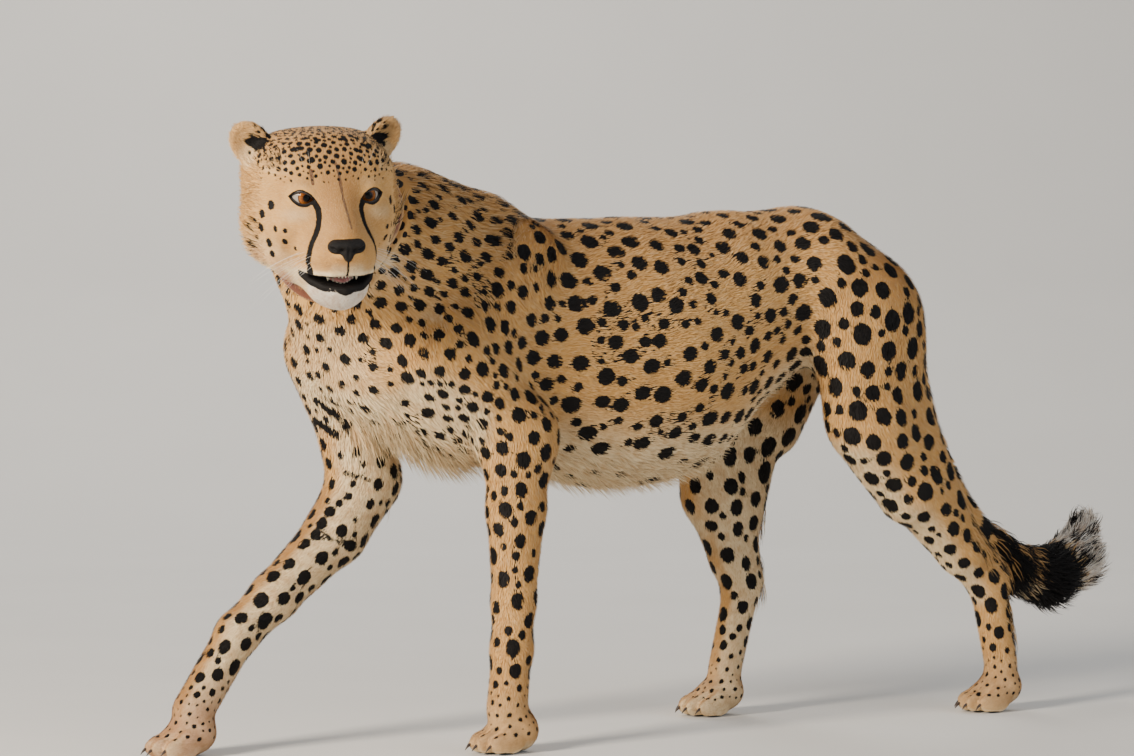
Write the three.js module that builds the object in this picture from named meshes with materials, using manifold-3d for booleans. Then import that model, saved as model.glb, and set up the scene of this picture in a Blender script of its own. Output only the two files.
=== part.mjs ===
// A walking cheetah in life size, its head turned to its left.
// Millimetres. +X is the way it walks, +Y is its left, +Z is up, and the ground is z = 0.
import * as THREE from 'three';
import { mergeVertices } from 'three/addons/utils/BufferGeometryUtils.js';
import Module from 'manifold-3d';

const wasm = await Module();
wasm.setup();

// ---- driving dimensions -------------------------------------------------------------------

const GAP = 0.3;                 // space left between two nodes that touch
const COAT_BLEND = 42;           // how softly one muscle runs into the next on the body
const LIMB_BLEND = 14;
const LIMB_TOP = 425;            // height under which the limbs' own muscles start
const FACE_BLEND = 23;

const HEAD_AT = [511, 118, 750]; // middle of the skull
const HEAD_TURN = 74;            // degrees, to the left of the way it walks
const HEAD_DIP = 8;              // degrees, nose down
const HEAD_ROLL = 2;             // degrees

const EYE_RADIUS = 17;
const EYE_FORWARD = 56;
const EYE_APART = 83;
const EYE_UP = 17;
const EYE_OUTWARD = 17;          // degrees that each eye looks outwards
const LID_THICKNESS = 3;
const LID_WIDTH = 33;
const LID_OPENING = 19;

const NOSE_AT = [123, 0, -43];
const NOSE_HALF = [14, 22, 13];
const NOSTRIL_HALF = [7, 5, 4];
const NOSTRIL_APART = 26;

const MOUTH_CORNER = [64, -78];  // forward, up, in the head's own frame
const LIP_REACH = 160;
const UPPER_LIP = -80;
const LOWER_LIP = -112;

const EAR_AT = [-40, 88, 74];
const EAR_HALF = [14, 27, 33];
const EAR_WALL = 4.5;

const COLLAR_WIDTH = 34;
const COLLAR_THICKNESS = 4.5;
const COLLAR_SINK = 9;           // how far the strap lies under the coat's tips
const COLLAR_AT = [466, 40, 699];
const COLLAR_WAY = [0.58, 0.58, 0.57];

const TOE_HALF = [27, 13, 16];
const TOE_APART = 17;
const CLAW_LENGTH = 17;
const CLAW_RADIUS = 3.4;
const CLAW_DIP = 28;             // degrees below level

const TAN = 0xc98f4a;
const CREAM = 0xe6d3ae;
const BLACK = 0x16120f;
const PINK = 0xc4726a;
const IVORY = 0xe4d7b4;
const AMBER = 0xb5651d;
const LEATHER = 0x6e2a1b;

// ---- flesh --------------------------------------------------------------------------------
// A muscle is a tapered round bar from one point to another. Across its squash direction it is
// thinner by its squash factor. The body's surface is where all muscles, blended, end.

const vec = (p) => new THREE.Vector3(...p);

function muscle(from, to, startRadius, endRadius, squash = 1) {
  const start = vec(from);
  const along = vec(to).sub(start);
  return { start, along, lengthSq: along.lengthSq(), startRadius, endRadius,
           squash, across: new THREE.Vector3(0, 1, 0), blend: COAT_BLEND };
}

function pair(...spec) {
  const mirrored = (p) => [p[0], -p[1], p[2]];
  return [muscle(...spec), muscle(mirrored(spec[0]), mirrored(spec[1]), ...spec.slice(2))];
}

function blendedMin(a, b, width) {
  const overlap = Math.max(width - Math.abs(a - b), 0) / width;
  return Math.min(a, b) - overlap * overlap * width * 0.25;
}

const probe = new THREE.Vector3();

function fleshDistance(point, muscles) {
  let distance = 1e6;
  for (const part of muscles) {
    probe.copy(point).sub(part.start);
    if (part.squash !== 1) probe.addScaledVector(part.across, probe.dot(part.across) * (part.squash - 1));
    const along = THREE.MathUtils.clamp(probe.dot(part.along) / part.lengthSq, 0, 1);
    const radius = THREE.MathUtils.lerp(part.startRadius, part.endRadius, along);
    distance = blendedMin(distance, probe.addScaledVector(part.along, -along).length() - radius, part.blend);
  }
  return distance;
}

// ---- closed meshes ------------------------------------------------------------------------

function merged(geometry) {
  const plain = geometry.clone();
  for (const name of Object.keys(plain.attributes)) if (name !== 'position') plain.deleteAttribute(name);
  return mergeVertices(plain, 1e-4);
}

function solid(geometry, matrix = new THREE.Matrix4()) {
  const closed = merged(geometry).applyMatrix4(matrix);
  const index = closed.index.array;
  const corners = [];
  for (let i = 0; i < index.length; i += 3) {
    const [a, b, c] = [index[i], index[i + 1], index[i + 2]];
    if (a !== b && b !== c && c !== a) corners.push(a, b, c);
  }
  return new wasm.Manifold(new wasm.Mesh({
    numProp: 3,
    vertProperties: new Float32Array(closed.attributes.position.array),
    triVerts: new Uint32Array(corners),
  }));
}

function place(at, half = [1, 1, 1], turn = [0, 0, 0]) {
  const radians = turn.map(THREE.MathUtils.degToRad);
  return new THREE.Matrix4().compose(
    vec(at), new THREE.Quaternion().setFromEuler(new THREE.Euler(...radians)), vec(half));
}

function ball(at, half, columns = 10, rows = 7, turn) {
  const sizes = Array.isArray(half) ? half : [half, half, half];
  return solid(new THREE.SphereGeometry(1, columns, rows), place(at, sizes, turn));
}

function largest(body) {
  return body.decompose().sort((a, b) => b.volume() - a.volume())[0];
}

// A capsule is bent along a line inside the flesh, and each of its points then moves straight
// out until it leaves the flesh.
function wrap(linePoints, depthOf, { around, along, ends = 4, up = [0, 0, 1], grow = 0 }) {
  const line = new THREE.CatmullRomCurve3(linePoints.map(vec), false, 'centripetal');
  const coreLength = 10;
  const capsule = merged(new THREE.CapsuleGeometry(1, coreLength, ends, around, along));
  const place3 = capsule.attributes.position;
  const [local, origin, tangent, side, upward, direction] = Array.from({ length: 6 }, () => new THREE.Vector3());
  for (let i = 0; i < place3.count; i += 1) {
    local.fromBufferAttribute(place3, i);
    const core = THREE.MathUtils.clamp(local.y, -coreLength / 2, coreLength / 2);
    const station = core / coreLength + 0.5;
    line.getPointAt(station, origin);
    line.getTangentAt(station, tangent);
    side.crossVectors(tangent, vec(up)).normalize();
    upward.crossVectors(side, tangent);
    direction.copy(side).multiplyScalar(local.x)
      .addScaledVector(tangent, local.y - core).addScaledVector(upward, local.z).normalize();
    const reach = reachOut(origin, direction, depthOf) + grow;
    direction.multiplyScalar(reach).add(origin);
    place3.setXYZ(i, direction.x, direction.y, direction.z);
  }
  const body = solid(capsule);
  return body.volume() > 0 ? body : solid(turnedInsideOut(capsule));
}

function reachOut(origin, direction, depthOf) {
  const at = new THREE.Vector3();
  const depthAt = (far) => depthOf(at.copy(origin).addScaledVector(direction, far));
  let inside = 0;
  let outside = 2;
  while (depthAt(outside) < 0 && outside < 460) {
    inside = outside;
    outside += Math.max(-depthAt(outside) * 0.5, 2);
  }
  for (let step = 0; step < 12; step += 1) {
    const middle = (inside + outside) / 2;
    if (depthAt(middle) < 0) inside = middle; else outside = middle;
  }
  return (inside + outside) / 2;
}

function turnedInsideOut(geometry) {
  const index = geometry.index.array;
  for (let i = 0; i < index.length; i += 3) [index[i], index[i + 1]] = [index[i + 1], index[i]];
  return geometry;
}

// Keeps what lies on the side of a plane that its normal points to, less half a gap.
function above(body, point, normal) {
  const n = vec(normal).normalize();
  return body.trimByPlane([n.x, n.y, n.z], n.dot(vec(point)) + GAP / 2);
}

function below(body, point, normal) {
  return above(body, point, normal.map((c) => -c));
}

// ---- head frame ---------------------------------------------------------------------------

const headMatrix = new THREE.Matrix4().makeTranslation(...HEAD_AT)
  .multiply(new THREE.Matrix4().makeRotationZ(THREE.MathUtils.degToRad(HEAD_TURN)))
  .multiply(new THREE.Matrix4().makeRotationY(THREE.MathUtils.degToRad(HEAD_DIP)))
  .multiply(new THREE.Matrix4().makeRotationX(THREE.MathUtils.degToRad(HEAD_ROLL)));
const onHead = (p) => vec(p).applyMatrix4(headMatrix).toArray();
const headWay = (p) => vec(p).transformDirection(headMatrix).toArray();
const inHead = (geometry, matrix = new THREE.Matrix4()) => solid(geometry, headMatrix.clone().multiply(matrix));

// ---- muscles of the body ------------------------------------------------------------------

const trunk = [
  muscle([215, 0, 550], [0, 0, 532], 158, 178, 1.5),        // rib cage
  muscle([0, 0, 532], [-85, 0, 538], 178, 178, 1.46),       // full belly
  muscle([-85, 0, 538], [-205, 0, 590], 178, 132, 1.42),     // loin
  muscle([-205, 0, 590], [-330, 0, 622], 132, 104, 1.3),
  muscle([-330, 0, 622], [-420, 0, 604], 104, 74, 1.1),     // croup
  muscle([-420, 0, 604], [-474, 0, 592], 74, 50),
  muscle([345, 0, 535], [240, 0, 496], 92, 104, 1.15),      // breast
  muscle([60, 0, 640], [190, 0, 668], 66, 62, 1.1),         // withers
];
const neck = [
  muscle([240, 0, 600], [345, 0, 665], 140, 116, 1.16),
  muscle([345, 0, 665], [430, 14, 702], 116, 90, 1.1),
  muscle([430, 14, 702], [490, 60, 722], 88, 78),
  muscle([436, 22, 654], [398, -48, 560], 62, 64),          // throat, down to the right shoulder
  muscle([196, 0, 712], [330, 0, 742], 44, 50),             // mane along the nape
];
const shoulders = {
  left_fore: [
    muscle([165, 62, 668], [300, 92, 552], 48, 58, 1.25),   // shoulder blade
    muscle([300, 92, 552], [262, 95, 508], 56, 54, 1.15),   // point of the shoulder
  ],
  right_fore: [
    muscle([180, -60, 668], [372, -88, 540], 48, 62, 1.25),
    muscle([372, -88, 540], [358, -89, 490], 60, 57, 1.15),
  ],
};
const haunches = {
  left_hind: [
    muscle([-350, 52, 650], [-412, 52, 604], 62, 52, 1.15), // rump
    muscle([-402, 76, 578], [-398, 84, 546], 86, 82, 1.3),  // top of the thigh
    muscle([-426, 62, 576], [-438, 72, 534], 55, 58, 1.2),
  ],
  right_hind: [
    muscle([-350, -52, 650], [-412, -52, 604], 62, 52, 1.15),
    muscle([-378, -73, 580], [-342, -81, 540], 84, 77, 1.3),
    muscle([-420, -64, 574], [-400, -72, 530], 56, 60, 1.2),
  ],
};
const legs = {
  left_fore: [
    muscle([296, 90, 548], [196, 98, 430], 50, 50, 1.15),   // upper arm
    muscle([196, 98, 430], [200, 98, 330], 49, 41, 1.1),    // forearm
    muscle([200, 98, 330], [204, 98, 205], 41, 30),
    muscle([204, 98, 205], [207, 98, 140], 30, 29),
    muscle([207, 98, 140], [214, 97, 60], 28, 29),          // below the wrist
    muscle([200, 97, 30], [228, 96, 26], 30, 33, 0.85),     // ball of the foot
  ],
  right_fore: [
    muscle([372, -87, 536], [328, -92, 372], 56, 53, 1.15),
    muscle([326, -92, 362], [372, -93, 292], 52, 44, 1.1),
    muscle([372, -93, 292], [466, -97, 210], 42, 33),
    muscle([466, -97, 210], [522, -100, 162], 33, 30),
    muscle([522, -100, 162], [590, -101, 62], 29, 29),
    muscle([588, -101, 32], [618, -102, 26], 29, 33, 0.85),
  ],
  left_hind: [
    muscle([-400, 78, 572], [-388, 104, 446], 82, 66, 1.3), // thigh, front
    muscle([-432, 68, 556], [-452, 90, 442], 56, 56, 1.2),  // thigh, back
    muscle([-396, 104, 424], [-462, 102, 330], 65, 50, 1.2),
    muscle([-470, 98, 400], [-540, 98, 280], 46, 34, 1.1),  // calf
    muscle([-470, 102, 330], [-560, 96, 235], 46, 32),      // shin
    muscle([-560, 96, 235], [-610, 92, 188], 30, 26),
    muscle([-540, 96, 285], [-622, 92, 205], 26, 20),       // heel cord
    muscle([-614, 92, 188], [-640, 92, 70], 27, 25),
    muscle([-640, 92, 36], [-612, 92, 27], 30, 31, 0.85),
  ],
  right_hind: [
    muscle([-366, -76, 568], [-268, -98, 430], 78, 58, 1.3),
    muscle([-408, -69, 550], [-350, -90, 420], 56, 54, 1.2),
    muscle([-262, -98, 420], [-262, -96, 320], 59, 52, 1.2),
    muscle([-320, -92, 400], [-300, -92, 290], 48, 40, 1.1),
    muscle([-264, -96, 320], [-288, -90, 225], 48, 32),
    muscle([-288, -90, 225], [-300, -87, 182], 30, 27),
    muscle([-302, -90, 270], [-318, -87, 196], 26, 20),
    muscle([-304, -87, 182], [-276, -88, 68], 27, 25),
    muscle([-272, -88, 34], [-244, -89, 27], 30, 31, 0.85),
  ],
};
for (const part of Object.values(legs).flat()) if (part.start.z < LIMB_TOP) part.blend = LIMB_BLEND;
const headMuscles = [
  muscle([-40, 0, 26], [14, 0, 30], 68, 65, 0.98),           // braincase
  ...pair([-42, 46, 34], [14, 41, 36], 54, 48),              // temples
  ...pair([28, 26, 36], [32, 30, 27], 38, 32),               // brows
  ...pair([-18, 60, -8], [42, 46, -22], 44, 34),             // cheekbones
  ...pair([-30, 54, -42], [14, 46, -58], 46, 38),            // jaw muscles
  muscle([46, 0, 14], [104, 0, -30], 36, 24, 1.05),          // bridge of the nose
  ...pair([44, 30, -14], [86, 16, -44], 32, 25),             // sides of the muzzle
  ...pair([76, 20, -58], [97, 18, -60], 29, 25),             // whisker pads
  muscle([100, 0, -50], [108, 0, -60], 20, 18),
  ...pair([20, 28, -76], [74, 16, -98], 28, 24),             // lower jaw
  muscle([70, 0, -98], [90, 0, -103], 25, 23),               // chin
].map((part) => {
  const start = part.start.clone().applyMatrix4(headMatrix);
  const end = part.start.clone().add(part.along).applyMatrix4(headMatrix);
  const across = part.across.clone().transformDirection(headMatrix);
  return { ...part, start, along: end.sub(start), across, blend: FACE_BLEND };
});

const trunkMuscles = [trunk, neck, ...Object.values(shoulders), ...Object.values(haunches)].flat();
const inTrunk = (point) => fleshDistance(point, trunkMuscles);
const inHeadFlesh = (point) => fleshDistance(point, [neck[2], ...headMuscles]);

// ---- the body in one piece, then parted ----------------------------------------------------

const BACK_LINE = [[-486, 0, 604], [-420, 0, 615], [-320, 0, 612], [-200, 0, 585], [-60, 0, 555],
  [80, 0, 555], [200, 0, 575], [295, 0, 614], [378, 4, 662], [436, 20, 700], [480, 54, 728], [504, 82, 748]];
const backSize = { around: 28, along: 32, ends: 3 };
const body = wrap(BACK_LINE, inTrunk, backSize);

const nodes = [];
function node(name, shape, color, roughness = 0.85) {
  const mesh = largest(shape).getMesh();
  const geometry = new THREE.BufferGeometry();
  geometry.setAttribute('position', new THREE.BufferAttribute(new Float32Array(mesh.vertProperties), 3));
  geometry.setIndex(new THREE.BufferAttribute(new Uint32Array(mesh.triVerts), 1));
  const part = new THREE.Mesh(geometry, new THREE.MeshStandardMaterial({ color, roughness, metalness: 0 }));
  part.name = name;
  nodes.push(part);
}

// A leg takes the flesh beyond a wall beside the breast or groin, and inside planes that cross
// the flank. Each plane is [[x, z], [normal x, normal z]].
function insidePlanes(shape, planes, spare) {
  return planes.reduce((rest, [[x, z], [nx, nz]]) => {
    const length = Math.hypot(nx, nz);
    return rest.trimByPlane([nx / length, 0, nz / length], (nx * x + nz * z) / length - spare);
  }, shape);
}

function legRoom(side, wall, planes, spare) {
  const size = 1400;
  const block = solid(new THREE.BoxGeometry(size, size, size), place([planes[0][0][0], side * (wall - spare + size / 2), 0]));
  return insidePlanes(block, planes, spare);
}

const LEGS = {
  left_fore: {
    side: 1, wall: 60, planes: [[[210, 486], [0.3, -1]], [[140, 430], [1, 0.2]], [[298, 430], [-1, 0.2]]],
    line: [[288, 88, 538], [236, 94, 476], [198, 98, 418], [199, 98, 362], [200, 98, 300], [205, 98, 200], [208, 98, 120], [216, 97, 34]],
    cuts: [[[196, 98, 384], [0.1, 0, -1]], [[207, 98, 158], [0.05, 0, -1]]], ball: [216, 96],
  },
  right_fore: {
    side: -1, wall: 46, planes: [[[350, 500], [0.35, -1]], [[306, 639.5], [-0.62, -0.78]], [[262, 430], [1, -0.1]], [[520, 430], [-1, 0.4]]],
    line: [[366, -87, 522], [348, -90, 448], [334, -92, 384], [346, -93, 332], [376, -94, 290], [452, -97, 224], [524, -100, 160],
      [568, -101, 98], [596, -101, 44]],
    cuts: [[[338, -93, 352], [0.55, 0, -0.85]], [[508, -99, 176], [0.75, 0, -0.66]]], ball: [606, -102],
  },
  left_hind: {
    side: 1, wall: 40, planes: [[[-400, 572], [-0.25, -1]], [[-296, 470], [-1, 0.35]], [[-760, 400], [1, 0]]],
    line: [[-408, 79, 566], [-412, 92, 490], [-424, 100, 424], [-454, 100, 374], [-500, 99, 320], [-568, 96, 236], [-612, 92, 178],
      [-632, 92, 110], [-640, 92, 40]],
    cuts: [[[-456, 98, 396], [-0.45, 0, -0.9]], [[-604, 92, 190], [-0.55, 0, -0.83]]], ball: [-622, 92],
  },
  right_hind: {
    side: -1, wall: 40, planes: [[[-360, 572], [-0.2, -1]], [[-170, 470], [-1, 0.3]], [[-560, 500], [1, 0.4]]],
    line: [[-380, -77, 560], [-338, -86, 490], [-294, -94, 416], [-280, -94, 352], [-276, -94, 310], [-292, -90, 226], [-302, -87, 170],
      [-290, -88, 110], [-274, -88, 40]],
    cuts: [[[-288, -94, 372], [0.25, 0, -1]], [[-300, -88, 192], [-0.1, 0, -1]]], ball: [-254, -89],
  },
};

// Four toes spread from the ball of the foot, each with its claw, on a sole cut flat.
function toes([x, y]) {
  const pieces = [];
  for (const place4 of [-1.5, -0.5, 0.5, 1.5]) {
    const inner = Math.abs(place4) < 1;
    const front = x + (inner ? 26 : 14);
    const side = y + place4 * TOE_APART;
    pieces.push(ball([front, side, 15], TOE_HALF, 8, 5));
    const claw = new THREE.ConeGeometry(CLAW_RADIUS, CLAW_LENGTH, 5);
    pieces.push(solid(claw, place([front + TOE_HALF[0], side, 12], [1, 1, 1], [0, 0, -90 - CLAW_DIP])));
  }
  return pieces;
}

let trunkSolid = body;
for (const [name, { side, wall, planes, line, cuts, ball: foot }] of Object.entries(LEGS)) {
  const [sideName, which] = name.split('_');
  const [upperCut, lowerCut] = cuts;
  const limb = (grow) => wrap(line, (point) => fleshDistance(point, legs[name]),
    { around: 14, along: 27, ends: 3, up: [1, 0, 0], grow });
  const root = body.intersect(legRoom(side, wall, planes, 0)).add(insidePlanes(limb(0), planes, 0));
  node(`${which}leg_${sideName}_upper`, below(root, ...upperCut), TAN);
  node(`${which}leg_${sideName}_lower`, below(above(limb(0), ...upperCut), ...lowerCut), TAN);
  const paw = toes(foot).reduce((sum, piece) => sum.add(piece), above(limb(0), ...lowerCut));
  node(`${which}paw_${sideName}`, paw.trimByPlane([0, 0, 1], 0), TAN);
  trunkSolid = trunkSolid.subtract(legRoom(side, wall, planes, GAP)).subtract(insidePlanes(limb(GAP), planes, GAP));
}

// ---- neck, trunk and tail ------------------------------------------------------------------

const NECK_ROOT = [[306, 0, 640], [0.62, 0, 0.78]];
const HEAD_ROOT = [[485, 60, 718], [0.54, 0.6, 0.59]];
node('torso', below(trunkSolid, ...NECK_ROOT), TAN);
const neckSolid = below(above(body, ...NECK_ROOT), ...HEAD_ROOT);

// The collar is a plain strap that presses the coat down, so it lies in a groove round the neck.
const neckSkin = (depth) => wrap(BACK_LINE, inTrunk, { ...backSize, grow: -depth });
const collarStep = vec(COLLAR_WAY).normalize().multiplyScalar(COLLAR_WIDTH / 2);
const collarFoot = vec(COLLAR_AT).sub(collarStep).toArray();
const collarTop = vec(COLLAR_AT).add(collarStep).toArray();
const between = (ring, spare) => {
  const way = vec(COLLAR_WAY).normalize().multiplyScalar(spare);
  return below(above(ring, vec(collarFoot).sub(way).toArray(), COLLAR_WAY), vec(collarTop).add(way).toArray(), COLLAR_WAY);
};
const strap = between(neckSkin(COLLAR_SINK).subtract(neckSkin(COLLAR_SINK + COLLAR_THICKNESS)), 0);
const groove = between(neckSkin(-2).subtract(neckSkin(COLLAR_SINK + COLLAR_THICKNESS + GAP)), GAP);
node('neck', neckSolid.subtract(groove), TAN);
node('collar', below(strap, ...HEAD_ROOT), LEATHER, 0.4);

const TAIL_LINE = [[-466, 0, 614], [-510, 0, 584], [-536, 2, 500], [-572, 6, 385], [-634, 8, 278], [-722, 0, 200],
  [-812, -20, 178], [-880, -38, 198], [-900, -44, 238]];
const TAIL_RADII = [38, 36, 27, 24, 25, 31, 37, 36, 22];
const tail = TAIL_LINE.slice(1).map((to, i) => muscle(TAIL_LINE[i], to, TAIL_RADII[i], TAIL_RADII[i + 1]));
tail.forEach((part) => { part.blend = LIMB_BLEND; });
const grownTrunk = neckSkin(-GAP);
const tailSolid = wrap(TAIL_LINE, (point) => fleshDistance(point, tail), { around: 10, along: 28, ends: 3, up: [0, 1, 0] }).subtract(grownTrunk);
const TAIL_CUTS = [[[-584, 6, 376], [-0.35, 0, -1]], [[-700, 2, 214], [-0.8, 0, -0.55]]];
node('tail_root', below(tailSolid, ...TAIL_CUTS[0]), TAN);
node('tail_middle', below(above(tailSolid, ...TAIL_CUTS[0]), ...TAIL_CUTS[1]), TAN);
node('tail_end', above(tailSolid, ...TAIL_CUTS[1]), BLACK);

// ---- head ----------------------------------------------------------------------------------

const HEAD_LINE = [onHead([-52, 0, -8]), onHead([0, 0, -4]), onHead([48, 0, -24]), onHead([84, 0, -52])];
const headSize = { around: 30, along: 14, ends: 5, up: headWay([0, 0, 1]) };
const headBall = wrap(HEAD_LINE, inHeadFlesh, headSize);
const grownHead = wrap(HEAD_LINE, inHeadFlesh, { ...headSize, grow: GAP });

let head = above(headBall, ...HEAD_ROOT);
const eyes = {};
for (const side of [1, -1]) {
  const at = [EYE_FORWARD, side * EYE_APART / 2, EYE_UP];
  const look = place(at, [1, 1, 1], [0, 0, side * EYE_OUTWARD]);
  const round = (radius) => inHead(new THREE.SphereGeometry(radius, 14, 9), place(at));
  const almond = new THREE.Shape();
  almond.moveTo(-LID_WIDTH / 2, -side * 2);
  almond.quadraticCurveTo(0, LID_OPENING, LID_WIDTH / 2, side * 2);
  almond.quadraticCurveTo(0, -LID_OPENING, -LID_WIDTH / 2, -side * 2);
  const slit = new THREE.ExtrudeGeometry(almond, { depth: 60, bevelEnabled: false, curveSegments: 5 });
  const facing = new THREE.Matrix4().makeBasis(
    new THREE.Vector3(0, 1, 0), new THREE.Vector3(0, 0, 1), new THREE.Vector3(1, 0, 0));
  head = head.add(round(EYE_RADIUS + LID_THICKNESS))
    .subtract(inHead(slit, look.clone().multiply(facing))).subtract(round(EYE_RADIUS + GAP));
  eyes[side] = round(EYE_RADIUS);
}

function lip(points, radius) {
  const line = new THREE.CatmullRomCurve3(points.map(vec));
  const section = new THREE.Shape().absarc(0, 0, radius, 0, Math.PI * 2);
  return inHead(new THREE.ExtrudeGeometry(section, { steps: 12, extrudePath: line, curveSegments: 3, bevelEnabled: false }));
}
const upperLip = [[66, 47, -75], [86, 44, -75], [106, 36, -76], [120, 20, -76], [122, 6, -73], [122, -6, -73],
  [120, -20, -76], [106, -36, -76], [86, -44, -75], [66, -47, -75]];
const lowerLip = [[66, 46, -82], [84, 40, -89], [103, 25, -96], [115, 0, -100], [103, -25, -96], [84, -40, -89],
  [66, -46, -82]];
head = head.add(lip(upperLip, 4.5)).add(lip(lowerLip, 4.5));

const throatSlit = [[-10, -108], [-90, -154]];
const mouthOutline = new THREE.Shape([
  [LIP_REACH, UPPER_LIP], [MOUTH_CORNER[0], MOUTH_CORNER[1] + GAP / 2],
  ...throatSlit.map(([x, z]) => [x, z + GAP / 2]),
  ...throatSlit.toReversed().map(([x, z]) => [x, z - GAP / 2]),
  [MOUTH_CORNER[0], MOUTH_CORNER[1] - GAP / 2], [LIP_REACH, LOWER_LIP],
].map(([x, z]) => new THREE.Vector2(x, z)));
const mouthTool = new THREE.ExtrudeGeometry(mouthOutline, { depth: 300, bevelEnabled: false });
const mouthPlace = new THREE.Matrix4().makeBasis(
  new THREE.Vector3(1, 0, 0), new THREE.Vector3(0, 0, 1), new THREE.Vector3(0, -1, 0)).setPosition(0, 150, 0);
const opened = head.subtract(inHead(mouthTool, mouthPlace));
const [upperHead, lowerJaw] = opened.decompose().sort((a, b) => b.volume() - a.volume());
node('head', upperHead, TAN);
node('lower_jaw', lowerJaw, CREAM);
node('eye_left', eyes[1], AMBER, 0.08);
node('eye_right', eyes[-1], AMBER, 0.08);

let nose = inHead(new THREE.SphereGeometry(1, 14, 8), place(NOSE_AT, NOSE_HALF));
for (const side of [1, -1]) {
  const at = [NOSE_AT[0] + 11, side * NOSTRIL_APART / 2, NOSE_AT[2] - 1];
  nose = nose.subtract(inHead(new THREE.SphereGeometry(1, 8, 6), place(at, NOSTRIL_HALF)));
}
node('nose', nose.subtract(grownHead), BLACK, 0.45);

// Each ear is a cup that opens forwards and outwards, its root set on the skull.
for (const [sideName, side] of [['left', 1], ['right', -1]]) {
  const at = [EAR_AT[0], side * EAR_AT[1], EAR_AT[2]];
  const tilt = [-side * 34, 0, side * 26];
  const outer = inHead(new THREE.SphereGeometry(1, 14, 10), place(at, EAR_HALF, tilt));
  const hollowAt = [at[0] + 13, at[1] + side * 6, at[2] + 4];
  const hollow = inHead(new THREE.SphereGeometry(1, 12, 8),
    place(hollowAt, EAR_HALF.map((half) => half - EAR_WALL), tilt));
  node(`ear_${sideName}`, outer.subtract(hollow).subtract(grownHead), TAN);
}

// ---- mouth, teeth and tongue -----------------------------------------------------------------

const floorSlope = (LOWER_LIP - MOUTH_CORNER[1]) / (LIP_REACH - MOUTH_CORNER[0]);
const roofSlope = (UPPER_LIP - MOUTH_CORNER[1]) / (LIP_REACH - MOUTH_CORNER[0]);
const mouthFloor = (x) => MOUTH_CORNER[1] + floorSlope * (x - MOUTH_CORNER[0]) + GAP;
const mouthRoof = (x) => MOUTH_CORNER[1] + roofSlope * (x - MOUTH_CORNER[0]) - GAP;

const tongue = inHead(new THREE.SphereGeometry(1, 14, 8),
  place([86, 0, mouthFloor(86)], [19, 13, 4.5], [0, 10, 0]));
const floorNormal = headWay([-floorSlope, 0, 1]);
const floorPoint = onHead([86, 0, mouthFloor(86)]);
node('tongue', above(tongue, floorPoint, floorNormal), PINK, 0.4);

function toothRow(height, front, canineApart, canineLength, upward) {
  const sizes = [];
  for (const y of [-3.5, -2.5, -1.5, -0.5, 0.5, 1.5, 2.5, 3.5]) {
    const canine = Math.abs(y) > 3;
    const x = front - y * y * 0.9;
    const across = canine ? Math.sign(y) * canineApart / 2 : y * 4.2;
    const long = canine ? canineLength : 4.5;
    const cone = new THREE.ConeGeometry(canine ? 3.4 : 2.6, long, 5);
    const turn = upward ? [90, 0, 0] : [-90, 0, 0];
    const middle = height(x) + (upward ? 1 : -1) * long / 2;
    sizes.push(inHead(cone, place([x, across, middle], [1, 1, 1], turn)));
  }
  const gumLine = [-1, -0.5, 0, 0.5, 1].map((y) => vec(
    [front - y * y * 11, y * canineApart / 2, height(front - y * y * 11) + (upward ? 1.2 : -1.2)]));
  const section = new THREE.Shape().absarc(0, 0, 2.2, 0, Math.PI * 2);
  const gum = new THREE.ExtrudeGeometry(section,
    { steps: 8, extrudePath: new THREE.CatmullRomCurve3(gumLine), curveSegments: 3, bevelEnabled: false });
  return sizes.reduce((sum, tooth) => sum.add(tooth), inHead(gum));
}
const lowerTeeth = toothRow(mouthFloor, 99, 30, 7, true);
node('teeth_lower', above(lowerTeeth, floorPoint, floorNormal).subtract(tongueRoom()), IVORY, 0.3);
const upperTeeth = toothRow(mouthRoof, 108, 38, 7.5, false);
const roofPoint = onHead([86, 0, mouthRoof(86)]);
const roofNormal = headWay([-roofSlope, 0, 1]);
node('teeth_upper', below(upperTeeth, roofPoint, roofNormal), IVORY, 0.3);

function tongueRoom() {
  return inHead(new THREE.SphereGeometry(1, 14, 8), place([86, 0, mouthFloor(86)], [19.4, 13.4, 4.9], [0, 10, 0]));
}

// ---- the whole animal, standing over its own middle --------------------------------------------

const cheetah = new THREE.Group();
cheetah.add(...nodes);
const room = new THREE.Box3().setFromObject(cheetah);
const middle = room.getCenter(new THREE.Vector3());
cheetah.position.set(-middle.x, -middle.y, -room.min.z);

export default cheetah;
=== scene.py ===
# %% [markdown]
# # A walking cheetah, dressed over its fixed solids
# The solids give the place and size of every part. This lesson puts one skin over all the
# flesh, adds the eyes, nose, mouth, claws and collar, and then lays the coat on the skin.

# %% The fixed frame
import math

import bmesh
import bpy
import numpy as np
from mathutils import Matrix, Vector


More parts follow.
